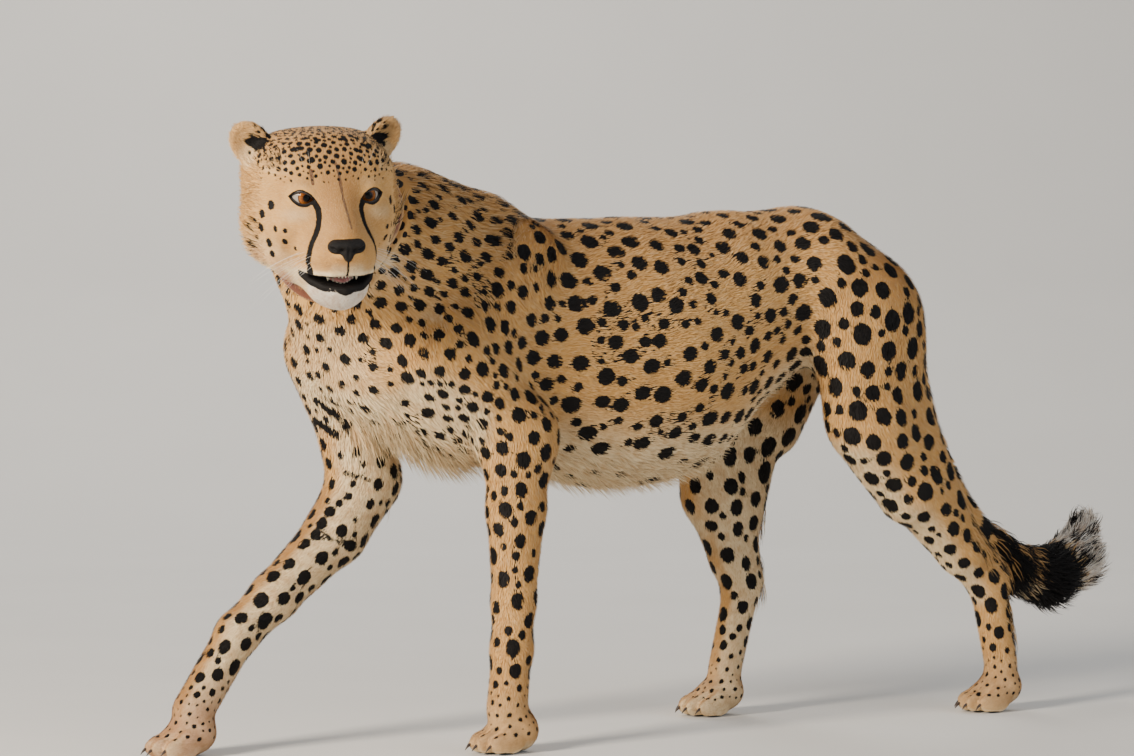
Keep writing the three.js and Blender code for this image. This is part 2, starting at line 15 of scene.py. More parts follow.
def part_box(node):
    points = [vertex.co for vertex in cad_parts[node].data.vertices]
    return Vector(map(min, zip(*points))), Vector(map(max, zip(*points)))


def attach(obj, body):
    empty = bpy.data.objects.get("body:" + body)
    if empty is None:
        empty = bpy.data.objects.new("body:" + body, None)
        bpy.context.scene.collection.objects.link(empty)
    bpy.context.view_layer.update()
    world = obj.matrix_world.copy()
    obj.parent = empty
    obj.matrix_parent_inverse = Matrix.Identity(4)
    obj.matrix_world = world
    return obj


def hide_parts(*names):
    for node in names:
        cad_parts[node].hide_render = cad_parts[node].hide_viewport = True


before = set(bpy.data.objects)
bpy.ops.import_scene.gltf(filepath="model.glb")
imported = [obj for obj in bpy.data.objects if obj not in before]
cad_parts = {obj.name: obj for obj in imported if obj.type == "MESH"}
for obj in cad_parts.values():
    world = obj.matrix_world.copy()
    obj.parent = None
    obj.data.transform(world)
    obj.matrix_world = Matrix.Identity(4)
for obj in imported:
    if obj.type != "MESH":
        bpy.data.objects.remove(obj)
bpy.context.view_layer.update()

# %% [markdown]
# ## Where things are
# The animal is described in millimetres, in its own frame: +X is the way it walks, +Y its left
# and +Z up. The head has a frame of its own inside that one, because it is turned to the left.
# The left eye ties the two frames to the solids, which stand over their own middle.

# %% Body frame and head frame
HEAD_AT = (511, 118, 750)
EYE = (56, 41.5, 17)
turned = [Matrix.Rotation(math.radians(angle), 4, axis) for angle, axis in ((74, "Z"), (8, "Y"), (2, "X"))]
head_matrix = Matrix.Translation(HEAD_AT) @ turned[0] @ turned[1] @ turned[2]
HEAD_TURN = np.array(head_matrix.to_3x3())
eye_low, eye_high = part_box("eye_left")
SHIFT = np.array((eye_low + eye_high) / 2) * 1000 - np.array(head_matrix @ Vector(EYE))


def on_head(points):
    """Body coordinates of points given in the head's frame, in millimetres."""
    return np.asarray(points, float) @ HEAD_TURN.T + HEAD_AT


def in_head(points):
    return (points - np.array(HEAD_AT)) @ HEAD_TURN


def folded(face):
    """The same places of the head, all on its left side, for what is alike on both sides."""
    return face * (1, 0, 1) + np.abs(face) * (0, 1, 0)


def metres(points):
    return (np.asarray(points, float) + SHIFT) / 1000


def millimetres(points):
    return np.asarray(points, float) * 1000 - SHIFT


def unit(ways):
    """One direction or many, each drawn to a length of 1."""
    return ways / np.maximum(np.linalg.norm(ways, axis=-1, keepdims=True), 1e-9)


print("the solids are shifted by", SHIFT.round(2), "mm")

# %% [markdown]
# ## Camera
# The camera stands to the front and left of the animal, near the ground and far away, so that
# near and far legs show at almost the same size. It is aimed by a direction and a distance: a
# track-to constraint would aim it too, but plain numbers also serve to find places in its view.

# %% Camera
LOOK_AT = metres([(54, 0, 500)])[0]
AZIMUTH, ELEVATION, CAMERA_FAR = math.radians(147), math.radians(3), 6.5
LENS, SENSOR = 148.6, 36
level = math.cos(ELEVATION)
back = Vector((math.sin(AZIMUTH) * level, -math.cos(AZIMUTH) * level, math.sin(ELEVATION)))
camera = bpy.data.objects.new("camera", bpy.data.cameras.new("camera"))
camera.data.lens = LENS
camera.data.sensor_width = SENSOR
camera.location = Vector(LOOK_AT) + back * CAMERA_FAR
camera.rotation_mode = "QUATERNION"
camera.rotation_quaternion = (-back).to_track_quat("-Z", "Y")
bpy.context.scene.collection.objects.link(camera)
bpy.context.scene.camera = camera
print("camera at", [round(c, 3) for c in camera.location])

# %% [markdown]
# ## Tools for pieces
# Every piece ends in the same way: its mesh becomes an object at the origin, it rides on the one
# body and it may stand for solids. A few helpers do this, so that each later cell holds only the
# shape of its piece.

# %% Helpers for meshes and pieces
def new_object(name, mesh, finish=None):
    thing = bpy.data.objects.new(name, mesh)
    bpy.context.scene.collection.objects.link(thing)
    if finish:
        mesh.materials.append(finish)
    return thing


def mesh_of(shape, name):
    """Turns a bmesh into a smooth mesh and frees it."""
    mesh = bpy.data.meshes.new(name)
    shape.to_mesh(mesh)
    shape.free()
    mesh.shade_smooth()
    return mesh


def applied(thing, name):
    """The mesh of a thing with its modifiers worked in."""
    graph = bpy.context.evaluated_depsgraph_get()
    mesh = bpy.data.meshes.new_from_object(thing.evaluated_get(graph))
    mesh.name = name
    bpy.data.objects.remove(thing)
    return mesh


def moved(shape, places):
    """Puts the points of a bmesh at places given in body millimetres."""
    for point, place in zip(shape.verts, metres(places)):
        point.co = place


def points_of_shape(shape):
    return np.array([point.co for point in shape.verts])


def stored(mesh, name, kind, values):
    """Keeps a number or a vector for each point of a mesh."""
    layer = mesh.attributes.new(name, kind, "POINT")
    layer.data.foreach_set("value" if kind == "FLOAT" else "vector", np.asarray(values, np.float32).ravel())


def dressed(piece, slot, *solids):
    """Lets a piece ride on the body and lets it stand for solids. The slot is not used."""
    if solids:
        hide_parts(*solids)
    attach(piece, "root")
    return piece


# %% [markdown]
# ## Shader maths
# A wire is one output of a shader node. Sums of wires add the Math nodes that they need, so a
# finish reads like a formula. Colours go through Mix, which keeps them coloured.

# %% Wires and finishes
class Wire:
    def __init__(self, finish, socket):
        self.finish, self.socket = finish, socket

    def maths(self, operation, *others):
        return self.finish.node("ShaderNodeMath", {"operation": operation}, dict(enumerate((self, *others))))

    def __add__(self, other):
        return self.maths("ADD", other)

    def __mul__(self, other):
        return self.maths("MULTIPLY", other)

    def __sub__(self, other):
        return self.maths("SUBTRACT", other)

    def __rsub__(self, other):
        return (self * -1) + other

    __radd__ = __add__
    __rmul__ = __mul__

    def between(self, low, high):
        """0 below low, 1 above high, and smooth in between; low may be the larger."""
        return self.finish.node("ShaderNodeMapRange", {"interpolation_type": "SMOOTHSTEP"},
                                {"Value": self, "From Min": low, "From Max": high})

    def outlet(self, number):
        """Another output of the same node."""
        return Wire(self.finish, self.socket.node.outputs[number])


class Finish:
    def __init__(self, name):
        self.material = bpy.data.materials.new(name)
        self.material.use_nodes = True
        self.tree = self.material.node_tree
        self.tree.nodes.clear()
        self.place = self.node("ShaderNodeTexCoord", out="Object")

    def node(self, kind, settings=None, sockets=None, out=0):
        """Any node: its settings come first, then the values or wires of its sockets."""
        made = self.tree.nodes.new(kind)
        for key, value in (settings or {}).items():
            setattr(made, key, value)
        for key, value in (sockets or {}).items():
            if isinstance(value, Wire):
                self.tree.links.new(value.socket, made.inputs[key])
            else:
                made.inputs[key].default_value = value
        return Wire(self, made.outputs[out])

    def attribute(self, name, out="Fac"):
        return self.node("ShaderNodeAttribute", {"attribute_name": name}, out=out)

    def noise(self, scale, detail=3, place=None):
        return self.node("ShaderNodeTexNoise", {}, {"Vector": place or self.place, "Scale": scale,
                         "Detail": detail, "Roughness": 0.55}, "Fac")

    def mix(self, amount, first, second):
        return self.node("ShaderNodeMix", {"data_type": "RGBA"}, {0: amount, 6: first, 7: second}, 2)

    def bump(self, height, strength, distance):
        return self.node("ShaderNodeBump", {}, {"Height": height, "Strength": strength, "Distance": distance})

    def surface(self, sockets):
        """The whole surface: numbers stay on the shader's own sockets, wires vary over it."""
        shader = self.node("ShaderNodeBsdfPrincipled", {}, sockets)
        out = self.tree.nodes.new("ShaderNodeOutputMaterial")
        self.tree.links.new(shader.socket, out.inputs["Surface"])
        return self.material


def color(*rgb):
    return (*rgb, 1.0)


print("shader maths is ready")

# %% [markdown]
# ## Floor and light
# A studio lays pale paper on the floor and bends it up behind, so no edge shows. One edge is
# extruded step by step for it. A warm lamp from the front gives the form, a large cool one fills
# the shadows, and one from behind lights the rim of the coat.

# %% Floor and lamps
def plain_floor():
    floor = bmesh.new()
    line = [floor.edges.new([floor.verts.new((6, y, 0)) for y in (-9, 9)])]
    for step in ((-9.0, 0, 0), (-1.2, 0, 0.5), (-0.5, 0, 1.2), (0, 0, 6.0)):
        made = bmesh.ops.extrude_edge_only(floor, edges=line)["geom"]
        bmesh.ops.translate(floor, vec=step, verts=[v for v in made if isinstance(v, bmesh.types.BMVert)])
        line = [e for e in made if isinstance(e, bmesh.types.BMEdge)]
    bmesh.ops.recalc_face_normals(floor, faces=floor.faces)
    if floor.faces[0].normal.z < 0:
        bmesh.ops.reverse_faces(floor, faces=floor.faces)
    facing = Matrix.Rotation(AZIMUTH - math.pi / 2, 3, "Z")
    bmesh.ops.rotate(floor, cent=(0, 0, 0), matrix=facing, verts=floor.verts)
    return mesh_of(floor, "floor")


def plain_finish(name, scale, dark, light, sockets, detail=3):
    """A finish whose colour wanders between two tones."""
    finish = Finish(name)
    shade = finish.mix(finish.noise(scale, detail), color(*dark), color(*light))
    return finish.surface({"Base Color": shade, **sockets})


paper_look = plain_finish("studio_paper", 3.0, (0.60, 0.585, 0.56), (0.64, 0.625, 0.60), {"Roughness": 0.9}, 2)
floor = new_object("floor", plain_floor(), paper_look)


def soft_lamp(name, at, size, power, tint):
    lamp = bpy.data.objects.new(name, bpy.data.lights.new(name, "AREA"))
    lamp.data.size, lamp.data.energy, lamp.data.color = size, power, tint
    lamp.location = at
    lamp.rotation_mode = "QUATERNION"
    lamp.rotation_quaternion = (Vector((0.2, 0, 0.5)) - Vector(at)).to_track_quat("-Z", "Y")
    bpy.context.scene.collection.objects.link(lamp)


soft_lamp("key", (4.9, 1.1, 2.3), 1.3, 470, (1.0, 0.90, 0.76))
soft_lamp("fill", (-2.5, 4.5, 2.0), 5.0, 110, (0.90, 0.95, 1.0))
soft_lamp("rim", (-1.5, -4.0, 3.2), 2.5, 120, (1.0, 0.97, 0.92))
world = bpy.data.worlds.new("studio")
world.use_nodes = True
sky = world.node_tree.nodes["Background"].inputs
sky["Color"].default_value, sky["Strength"].default_value = (0.80, 0.84, 0.90, 1), 0.45
bpy.context.scene.world = world

# %% [markdown]
# ## Flesh
# Under the coat the animal is muscle. Each muscle is written as a tapered bar between two
# points, from where its hair starts to where it points, so that one list gives the form of the
# skin and the lie of the coat. Modelling by hand would give the form too, but not the lie.

# %% Muscles
TRUNK = [
    ((215, 0, 550), (0, 0, 532), 158, 178, 1.5),        # rib cage
    ((0, 0, 532), (-85, 0, 538), 178, 178, 1.46),       # belly
    ((-85, 0, 538), (-205, 0, 590), 178, 132, 1.42),    # loin
    ((-205, 0, 590), (-330, 0, 622), 132, 104, 1.3),
    ((-330, 0, 622), (-420, 0, 604), 104, 74, 1.1),     # croup
    ((-420, 0, 604), (-474, 0, 592), 74, 50, 1),
    ((345, 0, 535), (240, 0, 496), 92, 104, 1.15),      # breast
    ((190, 0, 668), (60, 0, 640), 62, 66, 1.1),         # withers
    ((345, 0, 665), (240, 0, 600), 116, 140, 1.16),     # neck
    ((430, 14, 702), (345, 0, 665), 90, 116, 1.1),
    ((490, 60, 722), (430, 14, 702), 78, 88, 1),
    ((436, 22, 654), (398, -48, 560), 62, 64, 1),       # throat, down to the right shoulder
    ((330, 0, 742), (196, 0, 712), 50, 44, 1),          # mane along the nape
    ((165, 62, 668), (300, 92, 552), 48, 58, 1.25),     # left shoulder blade
    ((300, 92, 552), (262, 95, 508), 56, 54, 1.15),
    ((180, -60, 668), (372, -88, 540), 48, 62, 1.25),   # right shoulder blade
    ((372, -88, 540), (358, -89, 490), 60, 57, 1.15),
    ((-350, 52, 650), (-412, 52, 604), 62, 52, 1.15),   # left rump and thigh
    ((-402, 76, 578), (-398, 84, 546), 86, 82, 1.3),
    ((-426, 62, 576), (-438, 72, 534), 55, 58, 1.2),
    ((-350, -52, 650), (-412, -52, 604), 62, 52, 1.15),  # right rump and thigh
    ((-378, -73, 580), (-342, -81, 540), 84, 77, 1.3),
    ((-420, -64, 574), (-400, -72, 530), 56, 60, 1.2),
]
LEFT_FORE = [
    ((296, 90, 548), (196, 98, 430), 50, 50, 1.15),     # upper arm
    ((196, 98, 430), (200, 98, 330), 49, 41, 1.1),      # forearm
    ((200, 98, 330), (204, 98, 205), 41, 30, 1),
    ((204, 98, 205), (207, 98, 140), 30, 29, 1),
    ((207, 98, 140), (214, 97, 60), 28, 29, 1),
    ((200, 97, 30), (213, 96, 25), 30, 28, 0.85),       # ball of the foot
]
RIGHT_FORE = [
    ((372, -87, 536), (328, -92, 372), 56, 53, 1.15),
    ((326, -92, 362), (372, -93, 292), 52, 44, 1.1),
    ((372, -93, 292), (466, -97, 210), 42, 33, 1),
    ((466, -97, 210), (522, -100, 162), 33, 30, 1),
    ((522, -100, 162), (590, -101, 62), 29, 29, 1),
    ((588, -101, 32), (603, -102, 25), 29, 28, 0.85),
]
LEFT_HIND = [
    ((-400, 78, 572), (-388, 104, 446), 82, 66, 1.3),   # front and back of the thigh
    ((-432, 68, 556), (-452, 90, 442), 56, 56, 1.2),
    ((-396, 104, 424), (-462, 102, 330), 65, 50, 1.2),
    ((-470, 98, 400), (-540, 98, 280), 46, 34, 1.1),    # calf
    ((-470, 102, 330), (-560, 96, 235), 46, 32, 1),     # shin
    ((-560, 96, 235), (-610, 92, 188), 30, 26, 1),
    ((-540, 96, 285), (-622, 92, 205), 26, 20, 1),      # heel cord
    ((-614, 92, 188), (-640, 92, 70), 27, 25, 1),
    ((-640, 92, 36), (-626, 92, 26), 29, 27, 0.85),
]
RIGHT_HIND = [
    ((-366, -76, 568), (-268, -98, 430), 78, 58, 1.3),
    ((-408, -69, 550), (-350, -90, 420), 56, 54, 1.2),
    ((-262, -98, 420), (-262, -96, 320), 59, 52, 1.2),
    ((-320, -92, 400), (-300, -92, 290), 48, 40, 1.1),
    ((-264, -96, 320), (-288, -90, 225), 48, 32, 1),
    ((-288, -90, 225), (-300, -87, 182), 30, 27, 1),
    ((-302, -90, 270), (-318, -87, 196), 26, 20, 1),
    ((-304, -87, 182), (-276, -88, 68), 27, 25, 1),
    ((-272, -88, 34), (-258, -89, 26), 29, 27, 0.85),
]
BALLS_OF_FEET = [(216, 96), (606, -102), (-622, 92), (-254, -89)]
TAIL_LINE = [(-466, 0, 614), (-510, 0, 584), (-536, 2, 500), (-572, 6, 385), (-634, 8, 278),
             (-722, 0, 200), (-812, -20, 178), (-880, -38, 198), (-900, -44, 238)]
TAIL_RADII = [38, 36, 27, 24, 25, 31, 37, 36, 22]


def two_sided(*spec):
    """A muscle of the head and its twin on the other side."""
    start, end, *rest = spec
    return [(start, end, *rest), ((start[0], -start[1], start[2]), (end[0], -end[1], end[2]), *rest)]


HEAD = [
    ((14, 0, 30), (-40, 0, 26), 65, 68, 0.98),                      # braincase
    *two_sided((14, 41, 36), (-42, 46, 34), 48, 54, 1),             # temples
    *two_sided((32, 30, 27), (28, 26, 36), 32, 38, 1),              # brows
    *two_sided((42, 46, -22), (-18, 60, -8), 34, 44, 1),            # cheekbones
    *two_sided((14, 46, -58), (-30, 54, -42), 38, 46, 1),           # jaw muscles
    ((104, 0, -30), (46, 0, 14), 24, 36, 1.05),                     # bridge of the nose
    *two_sided((86, 16, -44), (44, 30, -14), 25, 32, 1),            # sides of the muzzle
    *two_sided((97, 18, -60), (76, 20, -58), 25, 29, 1),            # whisker pads
    ((108, 0, -60), (100, 0, -50), 18, 20, 1),
    *two_sided((74, 16, -98), (20, 28, -76), 24, 28, 1),            # lower jaw
    ((90, 0, -103), (70, 0, -98), 23, 25, 1),                       # chin
]
print(len(TRUNK), "bars in the trunk,", len(HEAD), "in the head")

# %% [markdown]
# ## Distance from the flesh
# A bar's surface is where the distance from it is nil, and where two bars meet the distances are
# blended, as muscles blend under skin. Metaballs do the same, but numbers can be asked anywhere.

# %% Distance from the flesh
class Muscle:
    """A tapered bar. Its box, grown by its reach, says which points it may matter to."""
    REACH = 60

    def __init__(self, start, end, first, last, squash=1.0, blend=42.0, depth=5.0, head=False):
        self.start, end = np.array(start, float), np.array(end, float)
        self.across = HEAD_TURN[:, 1] if head else np.array((0.0, 1.0, 0.0))
        if head:
            self.start, end = on_head(self.start), on_head(end)
        self.along = end - self.start
        self.first, self.last, self.squash, self.blend, self.depth = first, last, squash, blend, depth
        room = max(first, last) + self.REACH
        self.low, self.high = np.minimum(self.start, end) - room, np.maximum(self.start, end) + room
        self.way = self.along / np.linalg.norm(self.along)

    def near(self, points):
        return np.nonzero(((points > self.low) & (points < self.high)).all(1))[0]

    def distance(self, points):
        away = points - self.start
        if self.squash != 1:
            away = away + np.outer(away @ self.across, self.across) * (self.squash - 1)
        share = np.clip(away @ self.along / (self.along @ self.along), 0, 1)
        away = away - share[:, None] * self.along
        return np.sqrt((away * away).sum(1)) - (self.first + (self.last - self.first) * share)


def blended(a, b, width):
    overlap = np.maximum(width - np.abs(a - b), 0) / width
    return np.minimum(a, b) - overlap * overlap * width * 0.25


def muscles(table, blend, depth, head=False):
    """Below the trunk a leg's own muscles keep their own outline, so they blend less."""
    made = []
    for row in table:
        own = blend if row[0][2] < 425 or head else 42
        thin = depth if row[0][2] > 120 or head else 2.0
        made.append(Muscle(*row, blend=own, depth=thin, head=head))
    return made


FAR = 1000.0
NECK_ROW = 9                    # the row of the trunk that the skull blends into
trunk = muscles(TRUNK, 42, 5.0)
legs = [muscles(table, 14, 3.5) for table in (LEFT_FORE, RIGHT_FORE, LEFT_HIND, RIGHT_HIND)]
tail = [Muscle(a, b, r, q, blend=14, depth=6.0) for a, b, r, q in
        zip(TAIL_LINE, TAIL_LINE[1:], TAIL_RADII, TAIL_RADII[1:])]
skull_muscles = muscles(HEAD, 23, 2.0, head=True)


def group_distance(points, group):
    distance = np.full(len(points), FAR)
    for part in group:
        near = part.near(points)
        if len(near):
            distance[near] = blended(distance[near], part.distance(points[near]), part.blend)
    return distance


print(len(trunk) + sum(map(len, legs)) + len(tail) + len(skull_muscles), "muscles")


# %% [markdown]
# ## Toes
# A cheetah walks on four toes a foot, the two inner ones a little ahead. They are too fine for
# muscles, so each is an egg form, with a radius for each axis, and a second egg for its knuckle.

# %% Egg forms, toes and pads
def egg(points, middle, radii, turn=None):
    away = points - np.array(middle, float)
    if turn is not None:
        away = away @ turn
    radii = np.array(radii, float)
    scaled, squared = away / radii, away / radii ** 2
    far = np.sqrt((scaled * scaled).sum(1))
    return far * (far - 1) / np.maximum(np.sqrt((squared * squared).sum(1)), 1e-6)


TOE_SPREAD = (-25.5, -8.5, 8.5, 25.5)


def toe_fronts(foot):
    """Where each toe's middle lies: the two inner toes reach further."""
    return [(foot[0] + (26 if abs(spread) < 10 else 14), foot[1] + spread, 15) for spread in TOE_SPREAD]


def feet_distance(points):
    distance = np.full(len(points), FAR)
    for foot in BALLS_OF_FEET:
        near = np.nonzero((np.abs(points[:, 0] - foot[0]) < 120) & (np.abs(points[:, 1] - foot[1]) < 90)
                          & (points[:, 2] < 110))[0]
        for middle in toe_fronts(foot) if len(near) else []:
            toe = egg(points[near], middle, (27, 9.4, 15.5))
            knuckle = egg(points[near], (middle[0] - 10, middle[1], 24), (17, 8.6, 13))
            distance[near] = blended(distance[near], blended(toe, knuckle, 5), 2)
    return distance


print("toes of one foot at", toe_fronts(BALLS_OF_FEET[0]))

# %% [markdown]
# ## Eyes, ears and mouth
# The lids bulge over the ball of the eye and leave an almond slit, the ear is a cup, and the mouth
# is a wedge between two lips. A sculptor would carve them. Here each is a form that is added to
# the head's flesh or taken from it, with a soft blend, so that the skin can be moved onto it.

# %% Eyes, ears and mouth
def turn_of(*angles_and_axes):
    turn = Matrix.Identity(3)
    for angle, axis in angles_and_axes:
        turn = turn @ Matrix.Rotation(math.radians(angle), 3, axis)
    return np.array(turn)


EYE_RADIUS = 17
EYE_OUTWARD = 17
LID_WIDTH, LID_RISE = 16.5, 8.5
EAR_AT, EAR_HALF, EAR_WALL = (-40, 88, 74), (14, 27, 33), 4.5


def almond(points, side):
    """Depth inside the slit between the lids; more than 0 is open."""
    away = (points - np.array((EYE[0], side * EYE[1], EYE[2]))) @ turn_of((side * EYE_OUTWARD, "Z"))
    across, up = away[:, 1], away[:, 2] - away[:, 1] * side * 2 / LID_WIDTH
    share = np.clip(1 - (across / LID_WIDTH) ** 2, 0, None)
    rise = LID_RISE * share
    open_in = np.where(np.abs(across) < LID_WIDTH, rise - np.abs(up), LID_WIDTH - np.abs(across) - np.abs(up))
    return np.where(away[:, 0] > 0, open_in, -FAR)


def ear_distance(points, side):
    tilt = turn_of((-side * 34, "X"), (side * 26, "Z"))
    at = (EAR_AT[0], side * EAR_AT[1], EAR_AT[2])
    hollow_at = (at[0] + 13, at[1] + side * 6, at[2] + 4)
    outer = egg(points, at, EAR_HALF, tilt)
    hollow = egg(points, hollow_at, [half - EAR_WALL for half in EAR_HALF], tilt)
    return -blended(-outer, hollow, 3)


MOUTH_BACK, MOUTH_CORNER = 64, -78      # how far ahead the mouth starts, and its height there


def mouth_height(ahead, is_floor):
    """The height of the floor or the roof of the mouth."""
    return MOUTH_CORNER - (ahead - MOUTH_BACK) * (0.354 if is_floor else 0.0208)


def mouth_gap(points):
    """Depth inside the open mouth, a wedge from the corners of the mouth forwards."""
    ahead, high = points[:, 0], points[:, 2]
    roof, floor_high = mouth_height(ahead, False), mouth_height(ahead, True)
    return np.minimum.reduce((roof - high, high - floor_high, ahead - MOUTH_BACK))


LIPS = [((66, 47, -75), (86, 44, -75), (106, 36, -76), (120, 20, -76), (122, 6, -73)),
        ((66, 46, -82), (84, 40, -89), (103, 25, -96), (115, 0, -100))]


def line_distance(points, corners, radius=0.0):
    distance = np.full(len(points), FAR)
    for a, b in zip(corners, corners[1:]):
        a, along = np.array(a, float), np.array(b, float) - np.array(a, float)
        away = points - a
        share = np.clip(away @ along / (along @ along), 0, 1)
        away = away - share[:, None] * along
        distance = np.minimum(distance, np.sqrt((away * away).sum(1)))
    return distance - radius


def eye_distance(face, side):
    """Distance from the ball of one eye."""
    return np.sqrt(((face - np.array((EYE[0], side * EYE[1], EYE[2]))) ** 2).sum(1)) - EYE_RADIUS


def eyes_distance(face):
    return np.minimum(eye_distance(face, 1), eye_distance(face, -1))


def face_distance(face, base):
    """Adds lids, ears and lips to the head's flesh, and opens the eyes and the mouth."""
    both = folded(face)
    for side in (1, -1):
        base = blended(base, eye_distance(face, side) - 3, 9)
        base = blended(base, ear_distance(face, side), 9)
    base = -blended(-base, -mouth_gap(face), 3)
    for corners in LIPS:
        base = blended(base, line_distance(both, corners, 4.0), 4)
    for side in (1, -1):
        base = -blended(-base, -almond(face, side), 2)
        base = -blended(-base, eye_distance(face, side) - 0.3, 1)
    return base


NECK_END = np.array((485.0, 60.0, 718.0))
NECK_WAY = unit(np.array((0.54, 0.60, 0.59)))
HEAD_REACH = 230                # how far from the middle of the head its forms matter


def flesh(points):
    """Distance from the outline of the whole animal, less than 0 inside."""
    distance = group_distance(points, trunk)
    for leg in legs:
        distance = blended(distance, group_distance(points, leg), 22)
    distance = blended(distance, group_distance(points, tail), 22)
    distance = blended(distance, feet_distance(points), 7)
    near = np.nonzero(np.abs(points - np.array(HEAD_AT)).max(1) < HEAD_REACH)[0]
    if len(near):
        own = group_distance(points[near], [trunk[NECK_ROW]] + skull_muscles)
        behind = -(points[near] - NECK_END) @ NECK_WAY - 6
        own = -blended(-own, -behind, 20)
        own = face_distance(in_head(points[near]), own)
        distance[near] = blended(distance[near], own, 16)
    return -blended(-distance, points[:, 2], 4)


def outward(points, distance, step=0.4):
    """The direction in which the distance grows fastest."""
    slope = np.stack([flesh(points + np.eye(3)[axis] * step) - distance for axis in range(3)], 1)
    return slope / np.maximum(np.sqrt((slope * slope).sum(1)), 1e-6)[:, None]


print("crown of the head", flesh(np.array([(490.0, 110.0, 850.0)])).round(1), "mm from the outline")


# %% [markdown]
# ## One skin
# The flesh solids are copied, grown a little so that they run into each other, and remeshed as
# one closed surface. Then the body is thinned out, while the head and feet keep their small
# faces, and every point settles on the flesh, inside the solids by the coat's depth.

# %% The rough skin
FLESH_NODES = [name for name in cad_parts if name.split("_")[0] in
               ("foreleg", "hindleg", "forepaw", "hindpaw", "torso", "neck", "tail", "head", "lower", "ear")]
VOXEL = 0.0023


def rough_skin():
    body = bmesh.new()
    for name in FLESH_NODES:
        body.from_mesh(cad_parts[name].data)
    bmesh.ops.remove_doubles(body, verts=body.verts, dist=1e-5)
    thing = new_object("rough_skin", mesh_of(body, "rough_skin"))
    grow = thing.modifiers.new("grow", "DISPLACE")
    grow.strength, grow.mid_level = 0.0006, 0
    remesh = thing.modifiers.new("remesh", "REMESH")
    remesh.mode, remesh.voxel_size = "VOXEL", VOXEL
    return applied(thing, "rough_skin")


fine = rough_skin()
print("remeshed skin:", len(fine.vertices), "points")

# %% [markdown]
# ## Thinning
# A skin needs small faces only where its form is fine. Decimate merges faces, and a vertex group
# tells it where: not at all on the face, the ears and the feet, and more and more towards the
# trunk. Retopology by hand would give neater loops, but the coat hides the faces.

# %% Thinning the body
FACES_KEPT = 196000


def numbers_of(things, name, wide, kind=np.float32):
    """One row of numbers for each point, edge or triangle of a mesh."""
    found = np.empty(len(things) * wide, kind)
    things.foreach_get(name, found)
    return found.reshape(-1, wide)


def points_of(mesh):
    return numbers_of(mesh.vertices, "co", 3).astype(float)


def fineness(points):
    """0 where the small faces stay, on the face, the ears and the feet, and 1 on the body."""
    face = in_head(points)
    away = np.sqrt(((face - np.array((40, 0, -10))) ** 2).sum(1))
    ears = np.sqrt(((np.abs(face) - np.array((40, 88, 74))) ** 2).sum(1))
    feet = points[:, 2]
    near = np.minimum(np.minimum((away - 95) / 60, (ears - 45) / 40), (feet - 60) / 60)
    return np.clip(near, 0.0, 1.0)


def largest_piece(mesh, name):
    """Drops the few closed scraps that the remesh leaves between the solids."""
    shape = bmesh.new()
    shape.from_mesh(mesh)
    left, kept = set(shape.verts), set()
    while left and len(kept) < len(shape.verts) / 2:
        kept, edge = set(), [left.pop()]
        while edge:
            point = edge.pop()
            kept.add(point)
            fresh = [e.other_vert(point) for e in point.link_edges if e.other_vert(point) in left]
            left.difference_update(fresh)
            edge += fresh
    bmesh.ops.delete(shape, geom=[v for v in shape.verts if v not in kept], context="VERTS")
    return mesh_of(shape, name)


def thinned(mesh, name):
    thing = new_object(name, mesh)
    group = thing.vertex_groups.new(name="body")
    weights = fineness(millimetres(points_of(mesh)))
    for level in range(11):
        chosen = np.nonzero(np.round(weights * 10) == level)[0]
        group.add(chosen.tolist(), level / 10, "REPLACE")
    thin = thing.modifiers.new("thin", "DECIMATE")
    thin.vertex_group = group.name
    thin.ratio = FACES_KEPT / (2 * len(mesh.polygons))
    return largest_piece(applied(thing, name), name)


skin_mesh = thinned(fine, "skin")
print("thinned skin:", len(skin_mesh.vertices), "points,", len(skin_mesh.polygons), "faces")


# %% [markdown]
# ## Where the collar presses
# The collar lies on the neck behind the head, hangs a little at the throat and rises behind the
# left cheek. It comes before the coat, because the hair under it is flat and none grows there.

# %% The band of the collar
COLLAR_AT = np.array((466.0, 40.0, 699.0))
COLLAR_WAY = unit(np.array((0.58, 0.58, 0.57)))
COLLAR_SIDE = unit(np.cross(COLLAR_WAY, (0, 0, 1)))
COLLAR_UP = np.cross(COLLAR_SIDE, COLLAR_WAY)
THROAT_WAY = np.array((0.55, -0.2, -0.8))
COLLAR_WIDTH, COLLAR_THICKNESS, COLLAR_SINK = 34.0, 4.5, 5.5
COLLAR_DROP, COLLAR_RISE = 18.0, 10.0
THROAT_ANGLE, CHEEK_ANGLE = math.radians(275), math.radians(170)
CHEST_TOP = 560                 # the collar's forms matter only above this height


def collar_drop(angle):
    """How far back along the neck the band lies, at an angle round it."""
    throat = np.maximum(np.cos(angle - THROAT_ANGLE), 0) ** 2
    cheek = np.maximum(np.cos(angle - CHEEK_ANGLE), 0) ** 2
    return COLLAR_DROP * throat - COLLAR_RISE * cheek


def along_collar(points):
    """How far a point lies from the middle of the collar's band, along the neck."""
    away = points - COLLAR_AT
    return away @ COLLAR_WAY + collar_drop(np.arctan2(away @ COLLAR_UP, away @ COLLAR_SIDE))


def near_collar(points):
    return (np.abs(in_head(points)).max(1) < HEAD_REACH) & (points[:, 2] > CHEST_TOP)


def to_throat(points):
    """How far a point lies from the middle of the neck towards the throat."""
    return (points - COLLAR_AT) @ THROAT_WAY


print("the collar's middle is", group_distance(COLLAR_AT[None], trunk).round(1), "mm inside the neck")

# %% [markdown]
# ## How the coat lies
# Hair lies along the muscle under it, so near each muscle its direction is mixed into the lie.
# The same mix gives the coat's depth: thick on the body, thin on the face, none on the lids.

